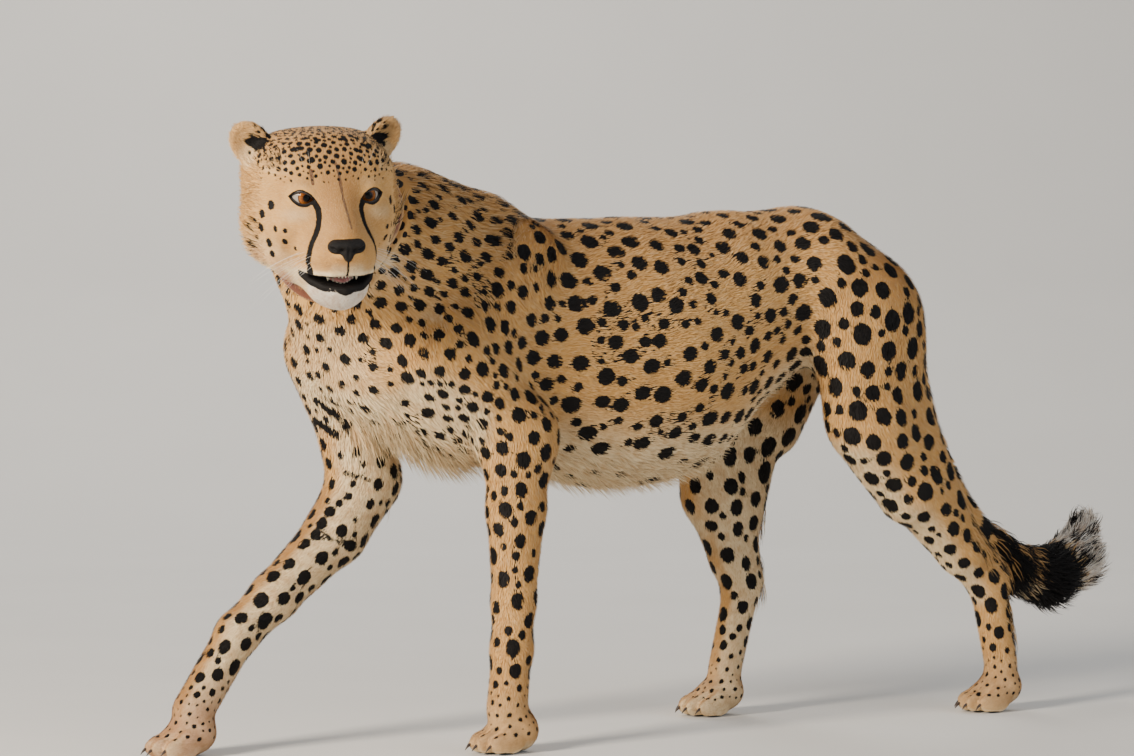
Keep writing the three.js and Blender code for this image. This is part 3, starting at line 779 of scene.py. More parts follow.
# %% Lie and depth of the coat
COAT_SHARE = 0.6                # of the muscles' depth, so that the tips end near the outline
ear_hairs = [Muscle((-30, side * 66, 56), (-46, side * 98, 92), 30, 22, depth=1.2, head=True)
             for side in (1, -1)]
toe_hairs = [Muscle((x - 20, y, 22), (x + 22, y, 8), 14, 14, depth=1.6) for foot in BALLS_OF_FEET
             for x, y, z in toe_fronts(foot)]
all_muscles = trunk + [part for leg in legs for part in leg] + tail + skull_muscles + ear_hairs + toe_hairs


def lie_and_depth(points):
    way, depth, total = np.zeros_like(points), np.zeros(len(points)), np.full(len(points), 1e-9)
    for part in all_muscles:
        near = part.near(points)
        weight = np.exp(-np.clip(part.distance(points[near]), -30, 60) / 9)
        way[near] += weight[:, None] * part.way
        depth[near] += weight * part.depth
        total[near] += weight
    depth *= COAT_SHARE / total
    face = in_head(points)
    depth *= np.clip((eyes_distance(face) - 4) / 10, 0.05, 1)
    lip = np.minimum(*(line_distance(folded(face), corners) for corners in LIPS))
    depth *= np.clip((lip - 4) / 8, 0.1, 1)
    depth *= np.clip((points[:, 2] - 3) / 12, 0.0, 1)
    pressed = np.clip((COLLAR_WIDTH / 2 + 9 - np.abs(along_collar(points))) / 9, 0, 1)
    deep = np.maximum(depth, (COLLAR_SINK + COLLAR_THICKNESS + 0.8) * pressed)
    return unit(way), np.where(near_collar(points), deep, depth)


print(len(all_muscles), "muscles comb the coat")

# %% [markdown]
# ## Settling
# The remeshed skin still has the steps of its grid and the corners of the solids. Its points are
# eased towards their neighbours and moved onto the flesh in turn, as a Smooth and a Shrinkwrap
# modifier would do, but the target here is the distance from the flesh, which has no faces.

# %% Settling the skin on the flesh
def eased(points, edges, share):
    """Moves each point a share of the way to the middle of its neighbours."""
    sums, count = np.zeros_like(points), np.bincount(edges.ravel(), minlength=len(points))
    for axis in range(3):
        sums[:, axis] = (np.bincount(edges[:, 0], points[edges[:, 1], axis], len(points))
                         + np.bincount(edges[:, 1], points[edges[:, 0], axis], len(points)))
    return points + share * (sums / np.maximum(count, 1)[:, None] - points)


def settled(mesh, rounds=7):
    edges = numbers_of(mesh.edges, "vertices", 2, np.int32)
    points = millimetres(points_of(mesh))
    depth = lie_and_depth(points)[1]
    for step in range(rounds):
        points = eased(points, edges, 0.5 if step < rounds - 2 else 0.15)
        distance = flesh(points)
        points = points - np.clip(distance + depth, -6, 6)[:, None] * outward(points, distance)
    mesh.vertices.foreach_set("co", metres(points).astype(np.float32).ravel())
    mesh.update()
    return points


skin_points = settled(skin_mesh)
left_over = flesh(skin_points) + lie_and_depth(skin_points)[1]
print("skin off the flesh by", np.percentile(left_over, (1, 50, 99)).round(2), "mm")

# %% [markdown]
# ## From the view to the skin
# A mark that is known by its place in the camera's view is put on the animal by a straight line
# from the camera through that place. The line is walked in steps as long as the distance from the
# flesh, so it stops on the skin. Blender's own ray cast needs faces; this needs only the distance.

# %% Where the camera sees a place
VIEW_WIDE, VIEW_HIGH = 1134, 756
FLESH_STARTS, FLESH_ENDS = 5900.0, 7300.0       # millimetres from the camera


def on_view_line(places):
    """The point of the flesh behind each place (across, down) of the view."""
    across, down = np.asarray(places, float).T
    ahead = -np.array(back)
    right = unit(np.cross(ahead, (0, 0, 1)))
    focal = LENS / SENSOR * VIEW_WIDE
    way = unit(ahead + np.outer((across - VIEW_WIDE / 2) / focal, right)
               - np.outer((down - VIEW_HIGH / 2) / focal, np.cross(right, ahead)))
    eye, far = millimetres([camera.location])[0], np.full(len(way), FLESH_STARTS)
    for _ in range(140):
        far = np.minimum(far + np.clip(flesh(eye + way * far[:, None]) * 0.8, -5, 30), FLESH_ENDS)
    return eye + way * far[:, None]


print("the middle of the view meets the animal at", on_view_line([(567, 378)]).round(0)[0])

# %% [markdown]
# ## Marks of the face
# Black tear lines run from the inner corners of the eyes to the mouth, a thin brown line parts the
# forehead, and the spots of cheeks and brow are few and small. They make the face, so they are
# set one by one, by their places in the view, and mirrored to the side that turns away.

# %% Marks of the face
TEAR_LINE = [(314, 202), (318, 209), (319, 218), (318, 227), (315, 236), (311, 245), (309, 254),
             (308, 264), (310, 272)]
TEAR_HALF = [4.0, 4.2, 4.1, 4.2, 4.5, 5.0, 5.6, 6.2, 7.0]
FACE_SPOTS = [(271, 205, 3.0), (262, 214, 2.9), (255, 221, 1.8), (261, 228, 3.0), (275, 229, 2.2),
              (285, 231, 1.8), (249, 226, 2.2), (252, 230, 2.0), (269, 243, 3.0), (285, 242, 2.3),
              (253, 245, 3.5), (257, 238, 1.8), (295, 249, 1.5), (272, 254, 2.4), (310, 161, 2.0),
              (306, 138, 2.4), (318, 140, 2.2), (297, 149, 2.3), (308, 153, 1.8)]
FACE_SPOT_GROWTH = 2.1          # the hair hides the rim of a small spot, so it is drawn larger
BARS = [((316, 402), (336, 415), 7.0), ((315, 421), (337, 434), 7.0), ((322, 468), (346, 472), 4.5),
        ((346, 472), (370, 479), 3.5), ((347, 495), (388, 511), 5.5), ((313, 503), (330, 511), 8.0),
        ((315, 534), (354, 546), 8.0)]
NOSE_LINE = [(335, 161), (338, 170), (341, 185), (345, 204), (350, 221), (352, 229)]
BROW_MARK = [(311, 171), (313, 184)]


def mirrored(points):
    """The same places on both sides of the head."""
    return np.concatenate((points, points * (1, -1, 1)))


tear_line = in_head(on_view_line(TEAR_LINE))
nose_line = in_head(on_view_line(NOSE_LINE))
brow_mark = in_head(on_view_line(BROW_MARK))
face_spots = in_head(on_view_line([spot[:2] for spot in FACE_SPOTS]))
bars = [(on_view_line([start, end]), half) for start, end, half in BARS]
print("tear line from", tear_line[0].round(0), "to", tear_line[-1].round(0))

# %% [markdown]
# ## How large the spots are
# Each spot is solid black and nearly round. The spots are largest on the thigh, smaller on the
# shoulder and very small on the crown and the toes, and the bare space between them changes too.
# Soft steps between regions give both sizes at any point, so that no region ends in a line.

# %% Sizes of the spots
def blend_of(value, low, high):
    share = np.clip((value - low) / (high - low), 0, 1)
    return share * share * (3 - 2 * share)


def on_skull(points):
    """1 on the head, 0 on the neck, and between them near the plane where they meet."""
    near = np.abs(in_head(points)).max(1) < 200
    return near * blend_of((points - NECK_END) @ NECK_WAY, -12, 12)


def spot_sizes(points, normals):
    """Half width of a spot and the bare space round it, in millimetres."""
    x, y, z = points.T
    face = in_head(points)
    half, bare = np.full(len(points), 11.0), np.full(len(points), 7.6)
    thigh = blend_of(x, -250, -330) * blend_of(z, 250, 330)
    half += 1.6 * thigh
    front = blend_of(x, 150, 280)
    half -= 2.6 * front
    bare -= 1.0 * front
    chest = blend_of(x, 300, 360) * blend_of(np.abs(y), 90, 60) * blend_of(z, 640, 560)
    half -= 1.2 * chest
    bare += 7 * chest
    low = blend_of(z, 330, 260)
    half = half * (1 - low) + 9.8 * low
    bare = bare * (1 - low) + 8.5 * low
    foot = blend_of(z, 130, 70)
    half = half * (1 - foot) + 3.2 * foot
    bare = bare * (1 - foot) + 11 * foot
    belly = blend_of(z, 440, 380) * blend_of(normals[:, 2], -0.4, -0.8) * (np.abs(x) < 260)
    half += 1.5 * belly
    bare += 26 * belly
    near = on_skull(points)
    crown = blend_of(face[:, 2], 40, 62)
    half = half * (1 - near) + (1.9 + 1.9 * crown) * near
    bare = bare * (1 - near) + (4.4 - 2.0 * crown) * near
    return half, bare


sizes_now = spot_sizes(skin_points, np.zeros_like(skin_points))[0]
print("spots are", sizes_now.min().round(1), "to", sizes_now.max().round(1), "mm in half width")

# %% [markdown]
# ## Places without spots
# The face has drawn marks instead of scattered spots, the soles are bare, and the raised foreleg
# carries short bars. A chance for each place keeps the spots off all of these. Weight paint would
# need a hand for every change of the form.

# %% Places without spots
NO_EDGE = 60.0                  # a distance so large that no mark is near


def line_edges(points, corners, halves):
    """Distance from a drawn line whose half width changes along it."""
    edge = np.full(len(points), NO_EDGE)
    for a, b, first, last in zip(corners, corners[1:], halves, halves[1:]):
        away, along = points - a, b - a
        share = np.clip(away @ along / max(along @ along, 1e-6), 0, 1)
        away = away - share[:, None] * along
        edge = np.minimum(edge, np.sqrt((away * away).sum(1)) - (first + (last - first) * share))
    return edge


def bar_edges(points):
    """Distance from the short bars on the inner side of the raised foreleg."""
    edge = np.full(len(points), NO_EDGE)
    near = np.nonzero((points[:, 0] > 300) & (points[:, 2] < 520))[0]
    for ends, half in bars:
        edge[near] = np.minimum(edge[near], line_edges(points[near], ends, [half, half]))
    return edge


def spot_chance(points):
    """How likely a place carries a scattered spot: the forehead thins out, the face has none."""
    face = in_head(points)
    both = np.abs(face)
    crown = blend_of(face[:, 2], 34, 60) * blend_of(both[:, 1], 92, 66)
    nape = blend_of(face[:, 0], -50, -85)
    jaw = 0.25 * blend_of(face[:, 2], -40, -75) * blend_of(face[:, 0], 20, -30)
    skull = on_skull(points)
    away_from_bars = bar_edges(points) > 7
    return (1 - skull + skull * np.maximum.reduce((crown, nape, jaw))) * (points[:, 2] > 26) * away_from_bars


print("spots may grow on", spot_chance(skin_points).mean().round(2), "of the skin")

# %% [markdown]
# ## Scattering the spots
# The large spots come first and keep their distance, then smaller ones fill the gaps, as on the
# real coat. A wave or cell texture would be quicker, but its spots would be cut where the skin
# leaves its cells. The draws are seeded, so every run gives the same animal.

# %% Scattering the spots
SPOT_LEVELS = ((1.0, 1.0), (0.64, 0.68), (0.50, 0.62))      # share of the size, share of the space


def scattered(points, normals, way, chance):
    """Spots as rows of place (3), half width, stretch, and the direction of their stretch (3)."""
    half, bare = spot_sizes(points, normals)
    likely = spot_chance(points)
    spots = np.zeros((6000, 8))
    count = 0
    for share, space in SPOT_LEVELS:
        drawn = chance.permutation(np.nonzero(chance.random(len(points)) < likely)[0])
        for index in drawn[:42000]:
            size = half[index] * share * (0.87 + 0.3 * chance.random())
            near = spots[:count]
            away = np.abs(near[:, :3] - points[index]).sum(1)
            close = near[away < 110]
            gap = np.sqrt(((close[:, :3] - points[index]) ** 2).sum(1)) - close[:, 3] - size
            if len(close) and gap.min() < bare[index] * space * (0.85 + 0.3 * chance.random()):
                continue
            spots[count, :3], spots[count, 3] = points[index], size
            spots[count, 4] = 1.02 + 0.22 * chance.random()
            spots[count, 5:] = way[index]
            count += 1
    return spots[:count]


skin_normals = numbers_of(skin_mesh.vertex_normals, "vector", 3).astype(float)
skin_way, skin_depth = lie_and_depth(skin_points)
coat_points = skin_points + skin_normals * skin_depth[:, None]
spots = scattered(coat_points, skin_normals, skin_way, np.random.default_rng(7))
face_rows = np.zeros((2 * len(FACE_SPOTS), 8))
face_rows[:, :3] = on_head(mirrored(face_spots))
face_rows[:, 3] = [spot[2] * FACE_SPOT_GROWTH for spot in FACE_SPOTS] * 2
face_rows[:, 4:] = (1, 1, 0, 0)
spots = np.concatenate((spots, face_rows))
print(len(spots), "spots")

# %% [markdown]
# ## Black
# Each point of skin or coat keeps how far it is from the nearest edge of black: of a spot, of a
# bar, of a ring round the tail, of the pads, of a mark of the face, or of the painted shade in the
# mouth and the hollows of the ears. A distance blends evenly over a face of the mesh, so the edge
# stays sharp, where a painted colour would blur.

# %% Distance from the nearest edge of black
def spot_edges(points, rows):
    order = np.argsort(points[:, 0])
    along = points[order, 0]
    edge = np.full(len(points), NO_EDGE)
    for row in rows:
        place, half, stretch, way = row[:3], row[3], row[4], row[5:]
        reach = half * stretch + 12
        first, last = np.searchsorted(along, (place[0] - reach, place[0] + reach))
        near = order[first:last]
        near = near[np.abs(points[near, 1:3] - place[1:3]).max(1) < reach]
        away = points[near] - place
        lengthwise = away @ way
        far = np.sqrt(np.maximum((away * away).sum(1) + (1 / stretch ** 2 - 1) * lengthwise ** 2, 0))
        edge[near] = np.minimum(edge[near], far - half)
    return edge


def along_tail(points):
    """How far along the tail a point is, from 0 at its root to 1 at its tip."""
    best, place, done = np.full(len(points), FAR), np.zeros(len(points)), 0.0
    whole = sum(np.linalg.norm(part.along) for part in tail)
    for part in tail:
        long = np.linalg.norm(part.along)
        away = points - part.start
        share = np.clip(away @ part.along / long ** 2, 0, 1)
        far = np.linalg.norm(away - share[:, None] * part.along, axis=1)
        place = np.where(far < best, (done + share * long) / whole, place)
        best, done = np.minimum(best, far), done + long
    return np.where(best < 75, place, 0.0)


def pad_distance(points):
    """Distance from the bare pads under the feet: one wide, and one under each toe."""
    distance = np.full(len(points), NO_EDGE)
    near = np.nonzero(points[:, 2] < 14)[0]
    for foot in BALLS_OF_FEET:
        toes = [((x + 4, y, 0), (13, 7.5, 5.5)) for x, y, z in toe_fronts(foot)]
        for middle, radii in [((foot[0] - 12, foot[1], 0), (24, 25, 7)), *toes]:
            distance[near] = np.minimum(distance[near], egg(points[near], middle, radii))
    return distance


TAIL_RINGS = ((0.58, 0.016), (0.64, 0.022), (0.70, 0.026), (0.81, 0.065))   # middle, half width
RING_SCALE = 900                # millimetres of tail for a place of 1


def ring_edges(points):
    place, edge = along_tail(points), np.full(len(points), NO_EDGE)
    for middle, half in TAIL_RINGS:
        edge = np.minimum(edge, np.where(place > 0.5, (np.abs(place - middle) - half) * RING_SCALE, NO_EDGE))
    return edge


def face_edges(face):
    """Tear lines, rims of the eyes, lips, furrow and the backs of the ears, with painted shade in the mouth and
    the ear hollows.
    """
    both = folded(face)
    # The inside of the open mouth is painted black: painted shade of the mouth's hollow.
    rows = [line_edges(both, folded(tear_line), TEAR_HALF), -mouth_gap(face) - 1.0]
    for side in (1, -1):
        rows.append(np.where(eye_distance(face, side) < 9, -almond(face, side) - 2.6, NO_EDGE))
    for corners, half in zip(LIPS, (3.2, 5.4)):
        rows.append(line_distance(both, corners, half))
    furrow = line_distance(face * (0, 1, 1), [(0, 0, -56), (0, 0, -78)], 1.5)
    rows.append(np.where(face[:, 0] > 100, furrow, NO_EDGE))
    ear_back = np.linalg.norm(both - (-54, 84, 66), axis=1) - 21
    rows.append(np.where(face @ (0.9, 0, 0.2) < -30, ear_back, NO_EDGE))
    # The hollow of each ear is painted black: painted shade inside the cup.
    rows.append(np.linalg.norm((both - (-24, 89, 76)) * (1, 0.55, 1.7), axis=1) - 15)
    return np.minimum.reduce(rows)


def black_edges(points):
    edge = np.minimum.reduce((spot_edges(points, spots), bar_edges(points), pad_distance(points),
                              ring_edges(points)))
    near = np.nonzero(np.abs(points - np.array(HEAD_AT)).max(1) < 170)[0]
    own = np.minimum(edge[near], face_edges(in_head(points[near])))
    edge[near] = own * (1 + 1.2 * on_skull(points[near]))       # crisper where the hair is short
    return edge


print("black skin:", (black_edges(coat_points) < 0).mean().round(2), "of the points")

# %% [markdown]
# ## Pale parts
# The belly, the inner sides of the legs, the chin and the patches round the eyes are pale. The
# height, the way the skin faces and the place on the head give a smooth share of paleness. A
# share above 1 turns cream into the white of the chin and of the tail's tip.

# %% Paleness
def paleness(points, normals):
    """The share of pale hair at each point."""
    face = in_head(points)
    near = (np.abs(face).max(1) < 170) * 1.0
    return np.maximum(pale_body(points, normals) * (1 - near), near * pale_face(face, normals))


def pale_body(points, normals):
    x, y, z = points.T
    under = blend_of(normals[:, 2], -0.05, -0.75) * blend_of(z, 620, 480)
    inner = blend_of(-normals[:, 1] * np.sign(y), 0.1, 0.8) * blend_of(z, 470, 400)
    chest = 0.55 * blend_of(x, 300, 380) * blend_of(z, 640, 560) * blend_of(np.abs(y), 110, 40) * (z > 380)
    foot = 0.45 * blend_of(z, 130, 40)
    pale = np.maximum.reduce((under, 0.9 * inner, chest, foot))
    return np.maximum(pale, 1.9 * blend_of(along_tail(points), 0.875, 0.89))


def pale_face(face, normals):
    both = folded(face)
    ahead, side, high = both.T
    chin = (1 + 0.6 * blend_of(ahead, 60, 90)) * blend_of(high, -66, -84) * blend_of(ahead, -60, 10)
    muzzle = blend_of(ahead, 76, 104) * blend_of(high, -52, -70) * (0.25 + 0.45 * blend_of(side, 30, 14))
    under_eye = 0.6 * blend_of(np.linalg.norm((both - (62, 46, -6)) * (0.7, 0.6, 1.3), axis=1), 28, 4)
    over_eye = 0.3 * blend_of(np.linalg.norm((both - (66, 42, 36)) * (0.7, 0.6, 1.8), axis=1), 24, 4)
    cheek = 0.55 * blend_of(high, 0, -70) * blend_of(ahead, -80, 10) * blend_of(ahead, 75, 45)
    ear_front = 0.35 * (side > 60) * (high > 46) * blend_of(normals @ HEAD_TURN[:, 0], -0.2, 0.4)
    ear_rim = 0.55 * blend_of(np.linalg.norm(both - (-30, 92, 58), axis=1), 26, 12)
    return np.maximum.reduce((chin, muzzle, under_eye, over_eye, cheek, ear_front, ear_rim))


print("pale skin:", (paleness(coat_points, skin_normals) > 0.5).mean().round(2), "of the points")

# %% [markdown]
# ## Stain, brown lines and depth of colour
# A wild animal isn't clean: the jaw is rust red after a meal, and the feet are dusty. The back,
# the crown and the bridge of the nose have the deepest colour. Each is one number for a point.

# %% Stain and depth of colour
STAIN = [(258, 254), (272, 264), (285, 277), (297, 290)]
stain_line = on_view_line(STAIN)


def stained(points):
    """Rust red on the jaw, after a meal, and dust on the feet."""
    jaw = line_edges(points, stain_line, [7, 8, 9, 8])
    fore = blend_of(points[:, 0], 480, 540) * (points[:, 1] < 0)
    foot = (0.12 + 0.5 * fore) * blend_of(points[:, 2], 150, 20)
    return np.maximum(0.75 * blend_of(jaw, 9, -5), foot)


def brown_edges(points):
    """The thin brown line down the forehead and the short mark over one eye."""
    face = in_head(points)
    edge = line_edges(face, nose_line, [1.6, 2.2, 2.2, 2.0, 1.8, 1.2])
    return np.minimum(edge, line_edges(face, brow_mark, [2.8, 2.2]))


def deep_colour(points, normals):
    """Where the ground colour is deepest: along the back, the bridge of the nose and the crown."""
    face = in_head(points)
    middle = on_skull(points) * blend_of(np.abs(face[:, 1]), 34, 14) * blend_of(face[:, 2], -40, -10)
    return np.maximum(blend_of(normals[:, 2], 0.0, 0.9), 0.9 * middle)


def write_marks(mesh, points, normals):
    """Stores the markings of each point of a mesh as attributes that the coat's finish reads."""
    stored(mesh, "black_edge", "FLOAT", black_edges(points))
    stored(mesh, "pale", "FLOAT", paleness(points, normals))
    stored(mesh, "stain", "FLOAT", stained(points))
    stored(mesh, "brown_edge", "FLOAT", brown_edges(points))
    stored(mesh, "back", "FLOAT", deep_colour(points, normals))


write_marks(skin_mesh, coat_points, skin_normals)
print("marks on the skin:", [layer.name for layer in skin_mesh.attributes if layer.data_type == "FLOAT"])

# %% [markdown]
# ## The finish of the coat
# One finish serves skin and coat. The black edge is frayed by noise as fine as the hair, the
# ground colour runs from tawny to cream, and short streaks along the lie stand for single hairs.

# %% The coat's finish
TAWNY, DEEP_TAWNY = color(0.66, 0.365, 0.112), color(0.43, 0.205, 0.060)
CREAM, BLACK_HAIR_AND_SHADE = color(0.82, 0.66, 0.41), color(0.009, 0.0075, 0.007)
WHITE_HAIR = color(0.84, 0.81, 0.76)
RUST, BROWN_LINE_TONE = color(0.42, 0.13, 0.07), color(0.12, 0.045, 0.025)


def coat_finish(name, tufts):
    fur = Finish(name)
    fine = fur.noise(420, 2)
    wide = fur.noise(14, 3)
    uneven = fur.noise(95, 2)
    frayed = fur.attribute("black_edge") + (fine - 0.5) * 2.6 + (uneven - 0.5) * 3.5
    black = frayed.between(0.6, -0.6)
    ground = fur.mix(fur.attribute("back") * 0.75 + wide * 0.3 - 0.1, TAWNY, DEEP_TAWNY)
    ground = fur.mix((fur.attribute("pale") + (wide - 0.5) * 0.35).between(0.1, 0.95), ground, CREAM)
    ground = fur.mix(fur.attribute("pale").between(1.0, 1.8), ground, WHITE_HAIR)
    ground = fur.mix(fur.attribute("stain") * wide.between(0.25, 0.7), ground, RUST)
    streak = fur.noise(900, 2)
    ground = fur.mix((streak - 0.35) * 0.5, ground, DEEP_TAWNY)
    ground = fur.mix(fur.noise(75, 4).between(0.42, 0.72) * 0.4, ground, DEEP_TAWNY)
    # A thin line down the forehead and a short one over the brow are drawn dark brown.
    brown = (fur.attribute("brown_edge") + (fine - 0.5) * 1.5).between(0.5, -0.6)
    ground = fur.mix(brown, ground, BROWN_LINE_TONE)
    if tufts:
        tone = fur.attribute("tone")
        ground = fur.mix(tone.between(0.45, 1.0) * 0.45, ground, DEEP_TAWNY)
        ground = fur.mix(tone.between(0.35, 0.0) * 0.25, ground, CREAM)
        # Paler towards the tip: a painted shade at the roots, deep in the coat.
        ground = fur.mix(fur.attribute("tip") * 0.16, ground, CREAM)
    shade = fur.mix(black, ground, BLACK_HAIR_AND_SHADE)
    sockets = {"Base Color": shade, "Roughness": 0.75 - black * 0.1, "Specular IOR Level": 0.15}
    if not tufts:
        grain = fur.noise(700, 3)
        sockets["Normal"] = fur.bump(grain, 0.5, 0.0015)
    return fur.surface(sockets)


coat_look = coat_finish("short_coat", False)
tuft_look = coat_finish("coat_tufts", True)
print("two finishes of the coat:", coat_look.name, "and", tuft_look.name)

# %% [markdown]
# ## The skin takes the place of the flesh solids
# A living skin has no seams between neck, trunk and legs, so this one mesh stands for all the
# flesh solids at once. Dressing each solid alone would leave a gap at every joint.

# %% The skin in place of the solids
dressed(new_object("skin", skin_mesh, coat_look), "coat", *FLESH_NODES)
print("the skin stands for", len(FLESH_NODES), "solids")

# %% [markdown]
# ## An unwrap of the skin's own shape
# Each clump of hair takes its colour from one small patch of a flat map, so the map has to follow
# the body. Each part is rolled out round its own middle line: across is the way round it, up is
# the way along it. Smart UV Project would work too, but this gives any point its place at once.

# %% Charts of the unwrap
CHARTS = [                      # name, middle line, and left, low, width and height on the map
    ("trunk", [(-474, 0, 592), (-330, 0, 622), (-85, 0, 538), (215, 0, 550), (345, 0, 665), (480, 54, 716)],
     (0.01, 0.51, 0.98, 0.48)),
    ("foreleg_left", [(290, 90, 548), (197, 98, 430), (200, 98, 330), (207, 98, 140), (216, 97, 10)],
     (0.01, 0.01, 0.15, 0.48)),
    ("foreleg_right", [(372, -87, 536), (330, -92, 370), (372, -93, 292), (522, -100, 162), (612, -101, 20)],
     (0.17, 0.01, 0.15, 0.48)),
    ("hindleg_left", [(-402, 76, 578), (-420, 96, 430), (-468, 100, 330), (-612, 92, 188), (-632, 92, 10)],
     (0.33, 0.01, 0.15, 0.48)),
    ("hindleg_right", [(-378, -73, 580), (-290, -96, 420), (-280, -94, 300), (-302, -87, 180), (-262, -88, 10)],
     (0.49, 0.01, 0.15, 0.48)),
    ("tail", TAIL_LINE, (0.65, 0.01, 0.14, 0.48)),
    ("head", list(on_head([(-90, 0, 0), (0, 0, 0), (120, 0, -60)])), (0.80, 0.01, 0.19, 0.48)),
]


def chart_of(points):
    """Which part of the animal each point belongs to, as a number into the charts."""
    groups = [trunk, *legs, tail, skull_muscles + ear_hairs]
    return np.argmin([group_distance(points, group) for group in groups], axis=0)


def rolled_out(points, corners):
    """For each point the way round a middle line and the way along it, both from 0 to 1."""
    line = [np.array(corner, float) for corner in corners]
    lengths = [np.linalg.norm(b - a) for a, b in zip(line, line[1:])]
    best, flat, done = np.full(len(points), FAR * 9), np.zeros((len(points), 2)), 0.0
    for a, b, long in zip(line, line[1:], lengths):
        way = (b - a) / long
        away = points - a
        share = np.clip(away @ way / long, 0, 1)
        away = away - np.outer(share * long, way)
        side = unit(np.cross(way, (0.3, 0.0, 1.0) if abs(way[2]) < 0.8 else (1.0, 0.0, 0.0)))
        far = np.linalg.norm(away, axis=1)
        turn = np.arctan2(away @ side, away @ np.cross(side, way)) / (2 * math.pi) + 0.5
        along = (done + share * long) / sum(lengths)
        flat = np.where((far < best)[:, None], np.stack((turn, along), 1), flat)
        best, done = np.minimum(best, far), done + long
    return flat


def unwrapped(points, chart):
    flat = np.zeros((len(points), 2))
    for number, (_, corners, (left, low, wide, high)) in enumerate(CHARTS):
        own = np.nonzero(chart == number)[0]
        flat[own] = rolled_out(points[own], corners) * (wide, high) + (left, low)
    return flat


print("the map has", len(CHARTS), "charts")

# %% [markdown]
# ## How long the hair is
# The coat is short on the face and the feet, longer on the body, and longest under the breast and
# at the end of the tail. A groomer would comb a density map. Here soft steps between regions say
# how long the hair is at each point, and the collar shortens it where it lies against the throat.

# %% How long the hair is
def hair_length(points, normals):
    """Millimetres of hair at each point of the skin."""
    face = in_head(points)
    long = body_hair(points, normals)
    near = np.nonzero((np.abs(face).max(1) < 190) & (face[:, 0] > -110))[0]
    share = blend_of(face[near, 0], -110, -60)
    long[near] = long[near] * (1 - share) + head_hair(face[near]) * share
    long = np.minimum(long, np.clip(1.6 + (eyes_distance(face) - 3) * 0.25, 1.6, 40))
    before = along_collar(points) - COLLAR_WIDTH / 2
    at_throat = near_collar(points) & (before > 0) & (to_throat(points) > 0)
    return np.where(at_throat, np.minimum(long, np.clip(before * 1.1, 3, 40)), long)


def body_hair(points, normals):
    x, y, z = points.T
    long = np.full(len(points), 9.5)
    long += (8 - long) * blend_of(z, 430, 330)
    long += (6.5 - long) * blend_of(z, 240, 140)
    long += (4.5 - long) * blend_of(z, 90, 45)
    nape = blend_of(x, 140, 260) * blend_of(x, 470, 380) * blend_of(normals[:, 2], 0.35, 0.8) * (z > 600)
    long += (24 - long) * nape
    belly = blend_of(normals[:, 2], -0.45, -0.8) * (np.abs(x) < 280) * (z > 300)
    long += (26 - long) * belly
    breast = blend_of(x, 210, 270) * blend_of(np.abs(y), 70, 40) * blend_of(z, 500, 440)
    long += (34 - long) * breast * blend_of(normals[:, 2], 0, -0.4) * (z > 370)
    place = along_tail(points)
    long += (14 - long) * (place > 0.05)
    long += (30 - long) * blend_of(place, 0.60, 0.72)
    return long


def head_hair(face):
    ahead, side, high = folded(face).T
    long = np.full(len(face), 8.0)
    long += (4.2 - long) * blend_of(ahead, 10, 60)
    long += (2.6 - long) * blend_of(ahead, 70, 100)
    ruff = blend_of(high, -20, -60) * blend_of(ahead, 30, -10)
    long += (13 - long) * ruff
    ears = blend_of(side, 58, 70) * blend_of(high, 48, 60)
    long += (5 - long) * ears
    return long


coat_length = hair_length(skin_points, skin_normals)
print("hair is", coat_length.min().round(1), "to", coat_length.max().round(1), "mm long")

# %% [markdown]
# ## Planting
# A short coat is thousands of small clumps that overlap like tiles, so their roots have to be
# spread evenly. A running sum of the tufts that each triangle should carry is cut at even steps,
# which is quicker than Distribute Points on Faces and lets every root blend its corners' values.

# %% Planting the roots
def planted(points, corners, per_square, chance):
    """Spreads roots evenly over the skin: which triangle, and the shares of its three corners."""
    a, b, c = (points[corners[:, side]] for side in range(3))
    area = np.linalg.norm(np.cross(b - a, c - a), axis=1) / 2
    wanted = np.cumsum(area * per_square[corners].mean(1))
    marks = np.arange(int(wanted[-1])) + chance.random(int(wanted[-1]))
    triangle = np.minimum(np.searchsorted(wanted, marks), len(corners) - 1)
    first, second = chance.random(len(marks)), chance.random(len(marks))
    over = first + second > 1
    first[over], second[over] = 1 - first[over], 1 - second[over]
    return triangle, np.stack((1 - first - second, first, second), 1)


TILES = 1.9                     # how many tufts lie over any point of the skin
BARE_NOSE, BARE_NOSE_HALF = (123, 0, -43), (15.5, 23.5, 14.5)


def tuft_width(length):
    return np.clip(length * 0.15, 0.55, 2.4)


def coat_density(points):
    """Tufts per square millimetre, none where the skin is bare or pressed by the collar."""
    density = TILES / (coat_length * tuft_width(coat_length))
    face = in_head(points)
    bare = (eyes_distance(face) < 3.4) | (egg(face, BARE_NOSE, BARE_NOSE_HALF) < 0) | (points[:, 2] < 5)
    bare |= (mouth_gap(face) > -1.0) & (np.abs(face).max(1) < 150)
    bare |= (np.abs(along_collar(points)) < COLLAR_WIDTH / 2 + 1) & near_collar(points)
    return np.where(bare, 0, density)


skin_mesh.calc_loop_triangles()
coat_corners = numbers_of(skin_mesh.loop_triangles, "vertices", 3, np.int32)
chance = np.random.default_rng(11)


